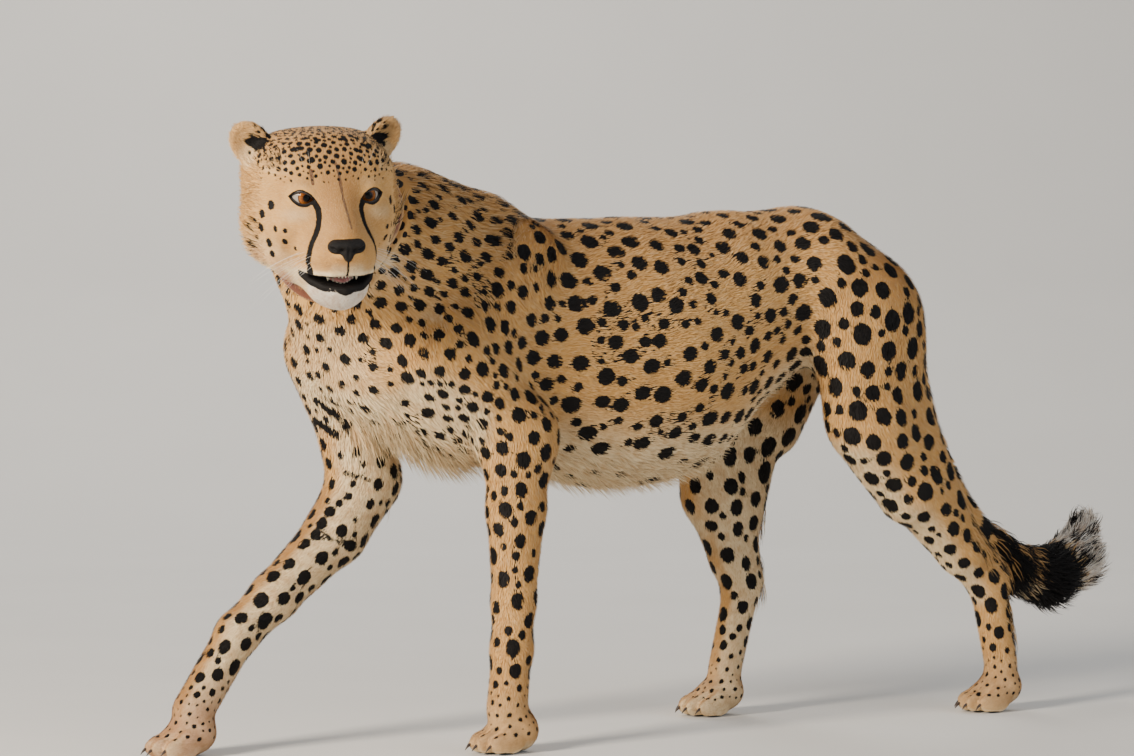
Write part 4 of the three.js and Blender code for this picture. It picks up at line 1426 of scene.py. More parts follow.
class Roots:
    """Where hairs grow: places, the ways up and along, the coat's depth, and a part's chart."""

    def __init__(self, per_square):
        self.triangle, self.shares = planted(skin_points, coat_corners, per_square, chance)
        self.at, self.up = self.blend(skin_points), unit(self.blend(skin_normals))
        self.way, self.depth = self.blend(skin_way), self.blend(skin_depth)
        self.chart = chart_of(self.at)
        self.patch = unwrapped(self.at, self.chart)

    def blend(self, values):
        """The values of the three corners, blended at each root."""
        picked = values[coat_corners[self.triangle]]
        return (picked * (self.shares if values.ndim == 1 else self.shares[:, :, None])).sum(1)

    def combed(self, size, amount, seed, jitter):
        """The way of each hair along the skin, turned a little, and the way across it."""
        way = unit(self.way - (self.way * self.up).sum(1)[:, None] * self.up)
        turn = ruffled(self.at, size, amount, seed) + chance.normal(size=len(way)) * jitter
        side = np.cross(self.up, way)
        way = way * np.cos(turn)[:, None] + side * np.sin(turn)[:, None]
        return way, np.cross(self.up, way)


tufts = Roots(coat_density(skin_points))
tuft_length = tufts.blend(coat_length)
print(len(tufts.at), "tufts planted")

# %% [markdown]
# ## Shaping the tufts
# Each clump is a closed leaf of four faces: it is rooted in the skin, widest near its middle, and
# ends in a point on the coat's outline. Particle hair would be easier, but it isn't solid, so it
# can't be shown by a tool that knows only meshes.

# %% Leaves
def ruffled(places, size, amount, seed):
    """A slow random turn, so that neighbouring tufts part and meet as hair does."""
    waves = np.random.default_rng(seed).normal(size=(6, 3)) / size
    phase = np.random.default_rng(seed + 1).random(6) * 6.28
    return amount * np.sin(places @ waves.T + phase).sum(1) / 2.4


def leaves():
    """Corner points of every tuft: root, two sides and tip."""
    way, side = tufts.combed(26, 0.20, 3, 0.13)
    count, up = len(way), tufts.up
    long = tuft_length * (0.75 + 0.5 * chance.random(count))
    wide = tuft_width(tuft_length) * (0.8 + 0.4 * chance.random(count))
    lift = tufts.depth * (0.72 + 0.42 * chance.random(count)) + 0.05 * tuft_length
    tip = tufts.at + way * long[:, None]
    tip += (lift - (flesh(tip) + tufts.depth))[:, None] * up
    middle = tufts.at + (tip - tufts.at) * 0.42 - (0.16 * wide)[:, None] * up
    sink = np.minimum(0.4, tufts.depth * 0.3)[:, None] * up
    half = side * wide[:, None] / 2
    return np.stack((tufts.at - sink, middle + half, middle - half, tip), 1)


LEAF_FACES = np.array(((0, 1, 3), (0, 3, 2), (0, 2, 1), (1, 2, 3)))
LEAF_PATCH = np.array(((0, -0.0015), (-0.0012, 0), (0.0012, 0), (0, 0.0015)))
# How far each corner of a leaf is out of the painted shade at the roots.
LEAF_ROOT_SHADE_FADE = (0, 0.5, 0.5, 1)
leaf_points = leaves()
print("tufts reach", (flesh(leaf_points[:, 3])).max().round(1), "mm past the outline at most")

# %% [markdown]
# ## Meshes of hair
# All hairs of a part are one mesh, because a separate object for each would choke the scene. The
# mesh is filled from arrays, since one operator call for each of many thousand leaves would take
# too long. Each hair keeps its own tone, and its marks are read where it lies on the outline.

# %% Coat pieces
def hair_piece(name, corners, faces, patches, smooth):
    """One mesh of many like hairs: their corner points, the faces of one, and its patches."""
    count, each = corners.shape[:2]
    mesh = bpy.data.meshes.new(name)
    mesh.vertices.add(count * each)
    mesh.vertices.foreach_set("co", metres(corners.reshape(-1, 3)).astype(np.float32).ravel())
    loops = (faces[None] + np.arange(count)[:, None, None] * each).reshape(-1)
    mesh.loops.add(len(loops))
    mesh.loops.foreach_set("vertex_index", loops.astype(np.int32))
    mesh.polygons.add(len(loops) // 3)
    mesh.polygons.foreach_set("loop_start", np.arange(0, len(loops), 3, dtype=np.int32))
    mesh.update(calc_edges=True)
    mesh.polygons.foreach_set("use_smooth", np.full(len(loops) // 3, smooth))
    layer = mesh.uv_layers.new(name="OFBake")
    layer.data.foreach_set("uv", patches.reshape(-1, 2)[loops].astype(np.float32).ravel())
    stored(mesh, "tone", "FLOAT", np.repeat(chance.random(count), each))
    return dressed(new_object(name, mesh, tuft_look), "coat")


def coat_piece(name, chosen):
    """Leaves of one part. A leaf's marks reach most of the way along it, as in a real clump."""
    corners, up = leaf_points[chosen], np.repeat(tufts.up[chosen], 4, axis=0)
    piece = hair_piece(name, corners, LEAF_FACES, tufts.patch[chosen][:, None] + LEAF_PATCH, False)
    reach = (corners - tufts.at[chosen][:, None]).reshape(-1, 3)
    reach -= (reach * up).sum(1)[:, None] * up
    outline = np.repeat((tufts.at + tufts.up * tufts.depth[:, None])[chosen], 4, axis=0)
    write_marks(piece.data, outline + reach * MARK_REACH, up)
    stored(piece.data, "tip", "FLOAT", np.tile(LEAF_ROOT_SHADE_FADE, len(chosen)))
    return piece


def pieces_by_part(prefix, chart, hairs_a_piece, make):
    """Splits the hairs by part, and a part with many hairs into several meshes."""
    for number, (part, _, _) in enumerate(CHARTS):
        own = np.nonzero(chart == number)[0]
        for piece_number, start in enumerate(range(0, len(own), hairs_a_piece)):
            made = make(f"{prefix}_{part}_{piece_number + 1}", own[start:start + hairs_a_piece])
            print(made.name, len(made.data.polygons), "faces")


MARK_REACH = 0.7
pieces_by_part("coat", tufts.chart, 48000, coat_piece)

# %% [markdown]
# ## Long hair
# The nape, the belly, the breast, the ears, the cheeks, the backs of the legs and the end of the
# tail carry hair that is too long for one flat leaf. Each strand is a thin closed bar of three
# sides that bends outwards first and then droops.

# %% Where long hair grows
MANE_DENSITY, MANE_SHAPE = 0.22, (62, 0.12, 0.03)


def long_hair(points, normals):
    """Strands per square millimetre, their length, and how much they stand up and droop."""
    x, y, z = points.T
    ahead, side, high = folded(in_head(points)).T
    place, skull, rise = along_tail(points), on_skull(points), normals[:, 2]
    nape = blend_of(x, 130, 260) * (1 - skull) * blend_of(rise, 0.45, 0.8) * (z > 620)
    belly = blend_of(rise, -0.45, -0.8) * (np.abs(x) < 290) * (z > 300) * (z < 520)
    breast = blend_of(x, 190, 250) * blend_of(x, 400, 340) * blend_of(np.abs(y), 60, 30)
    breast = breast * blend_of(z, 520, 460) * blend_of(rise, 0, -0.4) * (z > 360)
    heel = blend_of(z, 90, 140) * blend_of(z, 330, 240) * blend_of(-normals[:, 0], 0.2, 0.7)
    heel = heel * (x < -330) * (place < 0.05)
    cheek = skull * blend_of(high, -10, -50) * blend_of(ahead, 20, -20) * (side > 30)
    ear_root = skull * blend_of(side, 66, 80) * blend_of(ahead, 30, 0) * blend_of(high, 60, 30)
    ear_cup = skull * (side > 66) * (high > 52) * blend_of(normals @ HEAD_TURN[:, 0], -0.1, 0.5)
    rows = ((0.035 * nape, 18, 0.34, 0.15), (0.02 * belly, 25, 0.32, 0.45), (0.04 * breast, 28, 0.36, 0.65),
            (0.10 * blend_of(place, 0.58, 0.66), 34, 0.42, 0.10), (0.05 * heel, 26, 0.30, 0.40),
            (0.06 * cheek, 19, 0.28, 0.25), (0.10 * ear_root, 14, 0.42, 0.12),
            (0.25 * ear_cup, 6.5, 0.35, 0.0))
    best = np.argmax([row[0] for row in rows], axis=0)
    dense = np.max([row[0] for row in rows], axis=0)
    shape = np.array([row[1:] for row in rows])[best]
    near, band = near_collar(points), along_collar(points)
    dense[(np.abs(band) < COLLAR_WIDTH / 2 + 22) & near] = 0
    mane = near & (np.abs(band - COLLAR_WIDTH / 2 - 8) < 7) & (to_throat(points) < 22)
    dense[mane], shape[mane] = MANE_DENSITY, MANE_SHAPE
    return dense, shape


strand_density, strand_shape = long_hair(skin_points, skin_normals)
long_roots = Roots(strand_density)
strand_long, strand_stand, strand_droop = long_roots.blend(strand_shape).T
print(len(long_roots.at), "strands planted")

# %% [markdown]
# ## Growing the strands
# A strand has three rings of three points and a tip. The rings follow a curve that stands up and
# droops by its own amounts, and any ring that would sink into the body is lifted out again, which
# a hair system would leave to its collision settings.

# %% Growing the strands
STRAND_SHARES = (0.0, 0.3, 0.65, 1.0)
STRAND_THICKNESS = (1.0, 0.85, 0.55)
# How far each point of a strand is out of the painted shade at the roots.
STRAND_ROOT_SHADE_FADE = (0, 0, 0, 0.4, 0.4, 0.4, 0.8, 0.8, 0.8, 1.4)
FRINGE_DROOP, UNMARKED = 0.4, 9         # a drooping fringe keeps its pale colour, with no mark near


def strands():
    """Ten points of every strand: three rings of three, and the tip."""
    way, side = long_roots.combed(20, 0.30, 9, 0.16)
    up, depth = long_roots.up, long_roots.depth
    long = strand_long * (0.6 + 0.6 * chance.random(len(way)))
    stand = strand_stand * (0.6 + 0.8 * chance.random(len(way)))
    wide = np.clip(strand_long * 0.028, 0.5, 1.1)
    rings = []
    for share, thickness in zip(STRAND_SHARES, (*STRAND_THICKNESS, None)):
        middle = long_roots.at + (way * share + up * (stand * share * (1.6 - share))[:, None]) * long[:, None]
        middle[:, 2] -= strand_droop * long * share ** 2
        if share:
            middle += np.maximum(depth * 0.8 - flesh(middle) - depth, 0)[:, None] * up
        if thickness is None:
            rings.append(middle[:, None])
            break
        thick = (wide * thickness)[:, None]
        corners = [middle + thick * (side * math.cos(angle) + up * math.sin(angle) * 0.7)
                   for angle in (math.pi / 2, math.pi * 7 / 6, math.pi * 11 / 6)]
        rings.append(np.stack(corners, 1))
    return np.concatenate(rings, 1)


def strand_faces():
    """Triangles of one strand: its foot, the sides between its rings, and its tip."""
    faces = [(0, 1, 2), (6, 9, 7), (7, 9, 8), (8, 9, 6)]
    for low in (0, 3):
        for corner in range(3):
            a, b = low + corner, low + (corner + 1) % 3
            faces += [(a, a + 3, b), (b, a + 3, b + 3)]
    return np.array(faces)


strand_points = strands()
STRAND_FACES = strand_faces()
STRAND_PATCH = 0.0012 * np.array([(math.cos(turn), math.sin(turn)) for turn in np.linspace(0, 5.65, 10)])


def strand_piece(name, chosen):
    patches = long_roots.patch[chosen][:, None] + STRAND_PATCH
    piece = hair_piece(name, strand_points[chosen], STRAND_FACES, patches, True)
    outline = (long_roots.at + long_roots.up * long_roots.depth[:, None])[chosen]
    write_marks(piece.data, np.repeat(outline, 10, axis=0), np.repeat(long_roots.up[chosen], 10, axis=0))
    marks = piece.data.attributes["black_edge"].data
    fringe = np.repeat(strand_droop[chosen] > FRINGE_DROOP, 10)
    edge = np.where(fringe, UNMARKED, numbers_of(marks, "value", 1)[:, 0])
    marks.foreach_set("value", edge.astype(np.float32))
    stored(piece.data, "tip", "FLOAT", np.tile(STRAND_ROOT_SHADE_FADE, len(chosen)))
    return piece


pieces_by_part("coat_long", long_roots.chart, 12000, strand_piece)

# %% [markdown]
# ## Tubes
# Lids, whiskers, teeth, claws and stitches are all round bars that bend and taper. A curve with a
# bevel makes such a bar from a few points and a radius at each, and becomes a mesh at the end.

# %% Tubes from curves
def tubes(name, lines, finish, slot, *solids, ring=4, closed=False, steps=6):
    """Joined tubes: each line is a list of (point in body millimetres, radius in millimetres)."""
    curve = bpy.data.curves.new(name, "CURVE")
    curve.dimensions = "3D"
    curve.bevel_depth, curve.bevel_resolution, curve.use_fill_caps = 0.001, ring, not closed
    curve.resolution_u = steps
    for line in lines:
        spline = curve.splines.new("NURBS")
        spline.points.add(len(line) - 1)
        for point, (place, radius) in zip(spline.points, line):
            point.co = (*metres([place])[0], 1)
            point.radius = radius
        spline.order_u = min(4, len(line))
        spline.use_cyclic_u, spline.use_endpoint_u = closed, not closed
    mesh = applied(new_object(name, curve), name)
    bpy.data.curves.remove(curve)
    shape = bmesh.new()
    shape.from_mesh(mesh)
    bmesh.ops.remove_doubles(shape, verts=shape.verts, dist=1e-6)
    bmesh.ops.recalc_face_normals(shape, faces=shape.faces)
    piece = dressed(new_object(name, mesh_of(shape, name), finish), slot, *solids)
    print(name, "has", len(piece.data.polygons), "faces")
    return piece


def head_line(points, radii):
    return [(place, radius) for place, radius in zip(on_head(points), radii)]


# %% [markdown]
# ## Eyes
# Each eye is a ball with a clear bulge in front. The ball keeps, at each of its points, the place
# in its own frame, so rings and spokes of the iris stay centred where the animal looks.

# %% The finish of the eyes
GAZE_LEFT, GAZE_UP = 2.0, 2.0
PUPIL, IRIS = 5.0, 10.6


def eye_finish():
    wet = Finish("eye")
    parts = wet.node("ShaderNodeSeparateXYZ", {}, {"Vector": wet.attribute("eye_place", "Vector")})
    across, up = parts.outlet(1), parts.outlet(2)
    far = (across * across + up * up).maths("SQRT")
    angle = across.maths("ARCTAN2", up)
    spokes = wet.noise(1, 3, wet.node("ShaderNodeCombineXYZ", {}, {"X": angle * 9, "Y": far * 0.35, "Z": 0.0}))
    outward = (far + (spokes - 0.5) * 3).between(PUPIL, IRIS - 1.5)
    iris = wet.mix(outward, color(0.08, 0.022, 0.006), color(0.27, 0.088, 0.016))
    iris = wet.mix(spokes.between(0.52, 0.72) * 0.6, iris, color(0.42, 0.165, 0.032))
    iris = wet.mix(far.between(IRIS - 1.6, IRIS - 0.2), iris, color(0.03, 0.012, 0.006))
    veins = wet.noise(260, 4).between(0.55, 0.75)
    # The white of the eye is painted dim: a painted shade of the lids over the ball.
    white = wet.mix(veins * 0.3, color(0.33, 0.285, 0.24), color(0.28, 0.11, 0.075))
    shade = wet.mix(far.between(IRIS - 0.3, IRIS + 0.3), iris, white)
    shade = wet.mix(far.between(PUPIL + 0.25, PUPIL - 0.25), shade, color(0.003, 0.003, 0.003))
    return wet.surface({"Base Color": shade, "Roughness": 0.05, "Specular IOR Level": 0.14})


eye_look = eye_finish()
print("the iris runs from", PUPIL, "to", IRIS, "mm from its middle")

# %% [markdown]
# ## Two eyes
# A sphere with its poles turned forward makes each ball, so its rings of faces lie round the pupil.
# Sculpting the clear bulge isn't needed: a soft hill in front of the sphere does it.

# %% Eye balls
BULGE_HEIGHT, BULGE_RADIUS = 1.3, 10.5


def eye_ball(name, side):
    ball = bmesh.new()
    bmesh.ops.create_uvsphere(ball, u_segments=48, v_segments=36, radius=EYE_RADIUS)
    bmesh.ops.rotate(ball, cent=(0, 0, 0), matrix=Matrix.Rotation(math.radians(90), 3, "Y"), verts=ball.verts)
    own = points_of_shape(ball)
    hill = BULGE_HEIGHT * np.clip(1 - (own[:, 1:] ** 2).sum(1) / BULGE_RADIUS ** 2, 0, None)
    placed = own.copy()
    placed[:, 0] += np.where(own[:, 0] > 0, hill, 0)
    turn = turn_of((GAZE_LEFT, "Z"), (-GAZE_UP, "Y"))
    moved(ball, on_head(placed @ turn.T + (EYE[0], side * EYE[1], EYE[2])))
    mesh = mesh_of(ball, name)
    stored(mesh, "eye_place", "FLOAT_VECTOR", own)
    return new_object(name, mesh, eye_look)


dressed(eye_ball("ball_left", 1), "eye", "eye_left")
dressed(eye_ball("ball_right", -1), "eye", "eye_right")
print("two eyes of", 2 * EYE_RADIUS, "mm")

# %% [markdown]
# ## Lids
# A dark bare rim runs round each slit and is drawn out to a point at the inner corner, where the
# tear line starts. It lies on the ball of the eye, so no light shows between them.

# %% Lid rims
bare_skin = Finish("bare_black_skin")
bare_grain = bare_skin.noise(900, 3)
bare_color = bare_skin.mix(bare_grain, color(0.010, 0.008, 0.007), color(0.035, 0.026, 0.022))
bare_look = bare_skin.surface({"Base Color": bare_color, "Roughness": 0.42,
                               "Normal": bare_skin.bump(bare_grain, 0.4, 0.0006)})
# The upper rim is wider than the lower: it lowers the lid, and it is a painted shade of the brow.
RIM_POINTS, UPPER_RIM_AND_BROW_SHADE, LOWER_RIM = 28, 2.3, 1.7


def lid_rim(side):
    """Points round the slit of one eye, set on the ball, with the rim's radius at each."""
    rim = []
    turn = turn_of((side * EYE_OUTWARD, "Z"))
    for step in range(RIM_POINTS):
        angle = step / RIM_POINTS * 2 * math.pi
        across = math.cos(angle) * (LID_WIDTH + 0.3)
        rise = (LID_RISE + 0.4) * (1 - (across / (LID_WIDTH + 0.4)) ** 2)
        rise = rise if math.sin(angle) >= 0 else -rise
        up = rise + across * side * 2 / LID_WIDTH
        forward = math.sqrt(max((EYE_RADIUS + 1.0) ** 2 - across ** 2 - up ** 2, 4))
        place = turn @ np.array((forward, across, up)) + (EYE[0], side * EYE[1], EYE[2])
        rim.append((on_head(place), UPPER_RIM_AND_BROW_SHADE if rise > 0 else LOWER_RIM))
    return rim


tubes("lids", [lid_rim(1), lid_rim(-1)], bare_look, "coat_black", closed=True)

# %% [markdown]
# ## Nose
# The nose leather is broad on top and narrows to the furrow of the lip, with a comma of a nostril
# on each side. A ball is drawn onto a form made of egg shapes, because its points spread evenly.

# %% The form of the nose
def nose_distance(points):
    both = folded(points)
    form = egg(both, (122, 0, -38), (14, 19, 9.5))
    form = blended(form, egg(both, (120.5, 14.5, -40), (13, 10.5, 9.5)), 6)
    form = blended(form, egg(both, (123, 0, -52), (10.5, 8.5, 11)), 8)
    nostril = egg(both, (134.5, 10.5, -44.5), (6.5, 5.0, 3.6), turn_of((-28, "X"), (24, "Z")))
    notch = egg(both, (130, 19, -41.5), (6, 5.5, 1.8), turn_of((18, "X"), (40, "Z")))
    form = -blended(0.25 - form, nostril, 2.5)
    form = -blended(-form, notch, 2)
    furrow = egg(both, (136, 0, -50), (4.5, 1.0, 11))
    return -blended(-form, furrow, 2)


def last_inside(is_inside, inside, outside, rounds):
    """Halves the way between a distance inside a form and one outside it, time after time."""
    for _ in range(rounds):
        middle = (inside + outside) / 2
        within = is_inside(middle)
        inside, outside = np.where(within, middle, inside), np.where(within, outside, middle)
    return inside


def drawn_out(directions, centre, form, reach=40.0, steps=60):
    """For each direction from the centre, the last place inside the form."""
    def is_inside(far):
        return form(centre + directions * np.reshape(far, (-1, 1))) < 0

    inside = np.zeros(len(directions))
    for share in np.linspace(0.02, 1, steps):
        inside = np.where(is_inside(reach * share), reach * share, inside)
    inside = last_inside(is_inside, inside, inside + reach / (steps - 1), 10)
    return centre + directions * inside[:, None]


NOSE_MIDDLE = np.array((116.0, 0, -43))
nose_tip = drawn_out(np.eye(3), NOSE_MIDDLE, nose_distance)[0, 0]
print("the nose reaches", nose_tip.round(1), "mm ahead of the skull's middle")

# %% [markdown]
# ## Nose leather
# The leather is black, moist and pebbled, so it shines a little and in small patches. Cells of
# noise give the pebbles. Two rounds of smoothing take the steps out of the drawn ball.

# %% Nose leather
leather = Finish("nose_leather")
pebbles = leather.node("ShaderNodeTexVoronoi", {"feature": "DISTANCE_TO_EDGE"},
                       {"Vector": leather.place, "Scale": 900.0})
pebble = pebbles.between(0.0, 0.25)
nose_color = leather.mix(pebble, color(0.003, 0.0026, 0.0026), color(0.010, 0.008, 0.0075))
nose_look = leather.surface({"Base Color": nose_color, "Roughness": 0.48 + leather.noise(300) * 0.15,
                             "Specular IOR Level": 0.22, "Normal": leather.bump(pebble, 0.5, 0.0006)})


def nose_piece():
    ball = bmesh.new()
    bmesh.ops.create_icosphere(ball, subdivisions=5, radius=1)
    moved(ball, on_head(drawn_out(unit(points_of_shape(ball)), NOSE_MIDDLE, nose_distance)))
    for _ in range(2):
        bmesh.ops.smooth_vert(ball, verts=ball.verts, factor=0.3,
                              use_axis_x=True, use_axis_y=True, use_axis_z=True)
    return new_object("nose_leather", mesh_of(ball, "nose_leather"), nose_look)


nose = dressed(nose_piece(), "nose", "nose")
print("the nose has", len(nose.data.polygons), "faces")

# %% [markdown]
# ## Teeth
# The mouth is a little open, so the tips of the canines and a row of small front teeth show, on
# pink gums. Each tooth is one bent tube that tapers to a tip, because a carved crown is too small
# to be seen.

# %% Teeth
tooth_look = plain_finish("tooth", 180, (0.72, 0.62, 0.42), (0.83, 0.78, 0.64),
                          {"Roughness": 0.22, "Coat Weight": 0.4})
pink = Finish("tongue")
buds = pink.node("ShaderNodeTexVoronoi", {}, {"Vector": pink.place, "Scale": 1100.0})
pink_color = pink.mix(pink.noise(90), color(0.55, 0.20, 0.18), color(0.70, 0.33, 0.30))
tongue_look = pink.surface({"Base Color": pink_color, "Roughness": 0.30, "Coat Weight": 0.3,
                            "Normal": pink.bump(buds, 0.4, 0.0006)})


def tooth_row(name, solid, front, canine_apart, canine_length, is_floor):
    """A canine at each end and six small teeth between, on one gum."""
    way = 1 if is_floor else -1
    teeth = []
    for place in (-3.5, -2.5, -1.5, -0.5, 0.5, 1.5, 2.5, 3.5):
        canine = abs(place) > 3
        x = front - place * place * 0.9
        across = math.copysign(canine_apart / 2, place) if canine else place * 4.2
        long, thick = (canine_length + 2, 2.7) if canine else (5.0, 1.9)
        foot = mouth_height(x, is_floor)
        bend = 1.6 if canine else 0.4
        rows = [(x, across, foot - 1.5 * way), (x + bend * 0.6, across, foot + way * long * 0.3),
                (x + bend * 0.5, across, foot + way * long * 0.7), (x - bend * 0.4, across, foot + way * long)]
        teeth.append(head_line(rows, (thick, thick, thick * 0.72, 0.35)))
    tubes(name, teeth, tooth_look, "tooth", solid, ring=3, steps=4)
    gum_places = [(front - y * y * 11, y * canine_apart / 2) for y in (-1, -0.5, 0, 0.5, 1)]
    gum = [(x - 1, y, mouth_height(x, is_floor) + 0.6 * way) for x, y in gum_places]
    tubes(name + "_gum", [head_line(gum, (2.6, 2.8, 2.8, 2.8, 2.6))], tongue_look, "tongue")


tooth_row("lower_teeth", "teeth_lower", 99, 30, 7, True)
tooth_row("upper_teeth", "teeth_upper", 108, 38, 7.5, False)

# %% [markdown]
# ## Tongue
# The tongue is a flat, wet muscle with a furrow along it, and it lies on the floor of the mouth.
# A flattened ball with the furrow pressed into its upper half is enough, as only its tip shows.

# %% Tongue
TONGUE_MIDDLE, TONGUE_HALF = 84, (20, 13.5, 5.2)
FURROW_DEPTH, FURROW_WIDTH = 1.8, 0.22


def tongue_piece():
    ball = bmesh.new()
    bmesh.ops.create_uvsphere(ball, u_segments=32, v_segments=20, radius=1)
    own = points_of_shape(ball)
    placed = own * TONGUE_HALF
    placed[:, 2] -= FURROW_DEPTH * np.exp(-(own[:, 1] / FURROW_WIDTH) ** 2) * (own[:, 2] > 0)
    middle = (TONGUE_MIDDLE, 0, mouth_height(TONGUE_MIDDLE, True) + 1.5)
    moved(ball, on_head(placed @ turn_of((16, "Y")).T + middle))
    return new_object("tongue_furrowed", mesh_of(ball, "tongue_furrowed"), tongue_look)


tongue = dressed(tongue_piece(), "tongue", "tongue")
print("the tongue has", len(tongue.data.polygons), "faces")

# %% [markdown]
# ## Claws
# A cheetah can't draw its claws in fully, so their blunt tips show before each toe. A short bent
# tube with a closed end makes each one, and all of them are one mesh with one horn finish.

# %% Claws
claw_look = plain_finish("claw_horn", 500, (0.020, 0.014, 0.011), (0.075, 0.050, 0.036), {"Roughness": 0.35})


def claw(x, y, z):
    line = [(x + 18, y, z + 1), (x + 25, y, z - 0.5), (x + 30, y, z - 4), (x + 33, y, z - 9)]
    return [(place, radius) for place, radius in zip(line, (2.8, 2.5, 1.7, 0.35))]


claw_lines = [claw(x, y, z) for foot in BALLS_OF_FEET for x, y, z in toe_fronts(foot)]
tubes("claws", claw_lines, claw_look, "coat_black", ring=3)

# %% [markdown]
# ## Whiskers
# The whiskers are stiff pale hairs in rows on the pads of the lip, and a few more stand over each
# eye. They bend down under their own weight, so the longer ones droop more. Tubes suit them better
# than hair curves, which have no faces.

# %% Whiskers
whisker_look = plain_finish("whisker", 60, (0.75, 0.72, 0.66), (0.88, 0.86, 0.82), {"Roughness": 0.4})


def whisker_lines(chance):
    lines = []
    for side in (1, -1):
        for row in range(3):
            for number in range(4):
                start = np.array((104 - number * 7 - row * 1.5, side * (34 + number * 2.2),
                                  -50 - row * 6.5 + number))
                way = unit(np.array((0.20 - number * 0.16, side * 1.0, -0.25 - row * 0.16)))
                way += chance.normal(size=3) * 0.05
                long = 46 + number * 11 + 8 * chance.random()
                droop = np.array((-0.10, 0, -0.30)) * long
                lines.append(head_line([start - way * 6, start + way * long * 0.4 + droop * 0.1,
                                        start + way * long * 0.75 + droop * 0.45, start + way * long + droop],
                                       (0.20, 0.16, 0.10, 0.03)))
        for number in range(2):
            start = np.array((62, side * (32 + number * 6), 44 + number))
            way = np.array((0.35, side * (0.15 + number * 0.18), 0.9))
            lines.append(head_line([start - way * 5, start + way * 16, start + way * 30 + (-3, 0, 0),
                                    start + way * 42 + (-9, 0, -2)], (0.13, 0.11, 0.08, 0.03)))
    return lines


whisker_hairs = whisker_lines(np.random.default_rng(5))
tubes("whiskers", whisker_hairs, whisker_look, "coat_pale", ring=1, steps=4)

# %% [markdown]
# ## Collar
# The collar is a flat leather strap that presses the coat down. An open ring of faces is drawn in
# to the neck, then Solidify gives it its thickness and Bevel rounds its edges. A curve with a flat
# bevel would be quicker, but it can't follow the neck so closely.

# %% The strap
def on_neck(angle, along, above):
    """A place on the strap: the angle round the neck, the way across the strap and the height on it."""
    angle, along = np.atleast_1d(angle), np.broadcast_to(along, np.shape(np.atleast_1d(angle)))
    way = np.cos(angle)[:, None] * COLLAR_SIDE + np.sin(angle)[:, None] * COLLAR_UP
    centre = COLLAR_AT + (along - collar_drop(angle))[:, None] * COLLAR_WAY

    def is_inside(far):
        return group_distance(centre + way * far[:, None], trunk) < -COLLAR_SINK - COLLAR_THICKNESS

    inside = last_inside(is_inside, np.zeros(len(way)), np.full(len(way), 190.0), 22)
    return centre + way * (inside + above)[:, None]


hide = Finish("collar_leather")
strap_across = hide.attribute("across")
hide_grain = hide.node("ShaderNodeTexVoronoi", {"feature": "DISTANCE_TO_EDGE"},
                       {"Vector": hide.place, "Scale": 480.0})
# The pale golden edges of the strap are wear, and also a painted highlight of their lit rims.
edge_wear_and_highlight = (strap_across.maths("ABSOLUTE") + hide.noise(60) * 0.25).between(0.92, 1.12)
tanned = hide.noise(22, 4).between(0.35, 0.7)
hide_color = hide.mix(tanned, color(0.13, 0.030, 0.012), color(0.23, 0.070, 0.025))
hide_color = hide.mix(edge_wear_and_highlight, hide_color, color(0.60, 0.33, 0.12))
collar_look = hide.surface({"Base Color": hide_color, "Roughness": 0.42 + hide.noise(90) * 0.2,
                            "Normal": hide.bump(hide_grain.between(0, 0.12), 0.35, 0.0007)})


def outward_ring(mesh):
    """Whether an open ring's faces look away from its axis."""
    face = mesh.polygons[0]
    return (np.array(face.normal) @ (millimetres([face.center])[0] - COLLAR_AT)) > 0


def strap():
    ring = bmesh.new()
    bmesh.ops.create_cone(ring, cap_ends=False, segments=128, radius1=1, radius2=1, depth=2)
    lengthwise = [edge for edge in ring.edges if abs(edge.verts[0].co.z - edge.verts[1].co.z) > 1]
    bmesh.ops.subdivide_edges(ring, edges=lengthwise, cuts=5, use_grid_fill=True)
    own = points_of_shape(ring)
    moved(ring, on_neck(np.arctan2(own[:, 1], own[:, 0]), own[:, 2] * COLLAR_WIDTH / 2, 0.6))
    bmesh.ops.recalc_face_normals(ring, faces=ring.faces)
    mesh = mesh_of(ring, "collar_strap")
    stored(mesh, "across", "FLOAT", own[:, 2])
    band = new_object("collar_strap", mesh)
    wall = band.modifiers.new("wall", "SOLIDIFY")
    wall.thickness, wall.offset = COLLAR_THICKNESS / 1000, 1 if outward_ring(mesh) else -1
    soft = band.modifiers.new("soft", "BEVEL")
    soft.width, soft.segments, soft.limit_method = 0.0011, 3, "ANGLE"
    done = new_object("collar_strap", applied(band, "collar_strap"), collar_look)
    done.data.shade_smooth()
    return done


collar = dressed(strap(), "collar", "collar")
print("the strap has", len(collar.data.polygons), "faces")

# %% [markdown]
# ## Stitches
# A strap like this is two layers sewn together near both edges. Each stitch is a short tube that
# dips into the leather at both its ends. A bump texture would be lighter, but stitches that stand
# up catch the light from every side.

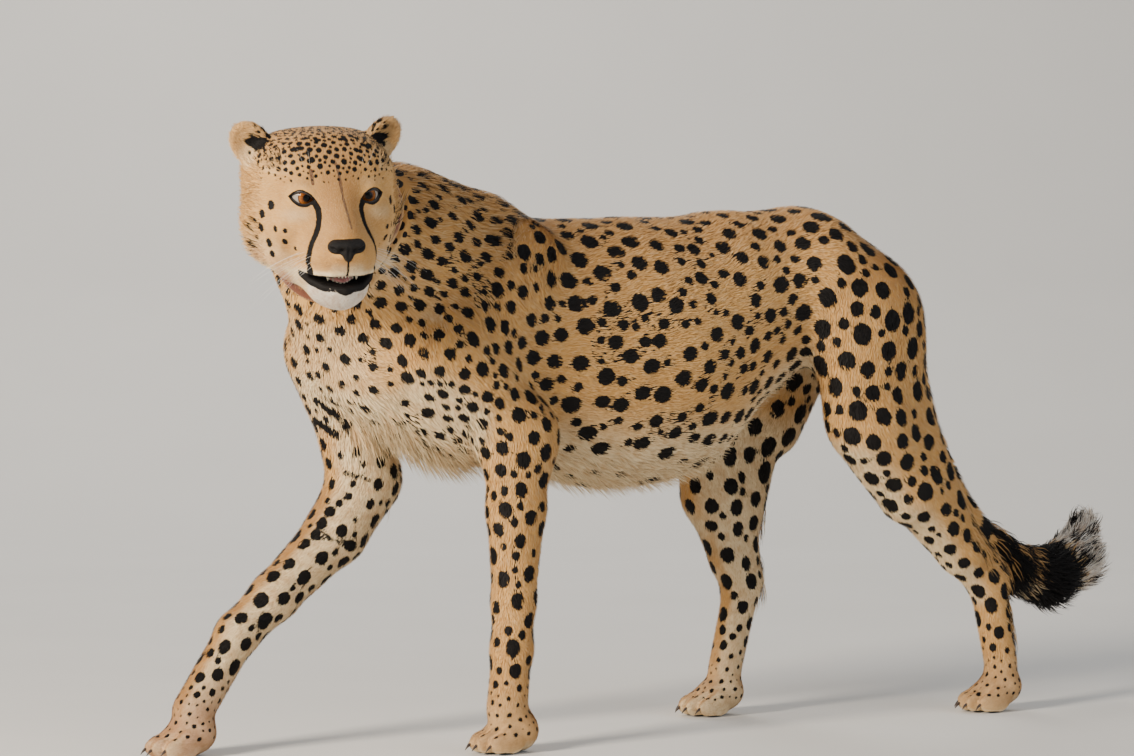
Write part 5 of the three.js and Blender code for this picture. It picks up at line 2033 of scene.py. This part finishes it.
# %% Stitches
thread_look = plain_finish("waxed_thread", 400, (0.42, 0.26, 0.12), (0.60, 0.42, 0.22), {"Roughness": 0.6})
SEAM, STITCHES_A_ROUND = 13.0, 118


def stitch_lines():
    lines = []
    for across in (-SEAM, SEAM):
        for number in range(STITCHES_A_ROUND):
            angles = [(number + share) / STITCHES_A_ROUND * 2 * math.pi for share in (0.14, 0.5, 0.86)]
            places = on_neck(np.array(angles), across, COLLAR_THICKNESS + 0.7)
            places += unit(places - COLLAR_AT) * np.array([[-0.5], [0.1], [-0.5]])
            lines.append([(place, 0.45) for place in places])
    return lines


tubes("collar_stitches", stitch_lines(), thread_look, "collar", ring=1, steps=2)

# %% [markdown]
# ## Buckle
# The buckle is a bent wire frame with one prong, of dull worn brass, and it follows the curve of
# the neck. Each corner has two points close together, so the tube bends round it tightly.

# %% Buckle
BUCKLE_AT = 0.25 * math.pi
brass = Finish("dull_brass")
brass_color = brass.mix(brass.noise(120, 4), color(0.50, 0.33, 0.12), color(0.72, 0.55, 0.26))
brass_look = brass.surface({"Base Color": brass_color, "Metallic": 1.0,
                            "Roughness": 0.25 + brass.noise(200) * 0.25})


def buckle_lines():
    """The closed line of the buckle's frame and the line of its prong."""
    frame_corners = [(-0.10, -20), (-0.10, 20), (0.10, 20), (0.10, -20)]
    around = []
    for (a, across), (b, beyond) in zip(frame_corners, frame_corners[1:] + frame_corners[:1]):
        for share in (0.0, 0.12, 0.5, 0.88):
            turn, side = a + (b - a) * share, across + (beyond - across) * share
            around.append((on_neck(BUCKLE_AT + turn, side, COLLAR_THICKNESS + 3.2)[0], 1.9))
    prong = [(on_neck(BUCKLE_AT + turn, 0.0, COLLAR_THICKNESS + rise)[0], 1.4)
             for turn, rise in ((-0.10, 3.2), (-0.03, 4.6), (0.05, 4.8), (0.11, 4.6))]
    return around, prong


buckle_frame, buckle_prong = buckle_lines()
tubes("buckle_frame", [buckle_frame], brass_look, "collar", closed=True)
tubes("buckle_prong", [buckle_prong], brass_look, "collar")
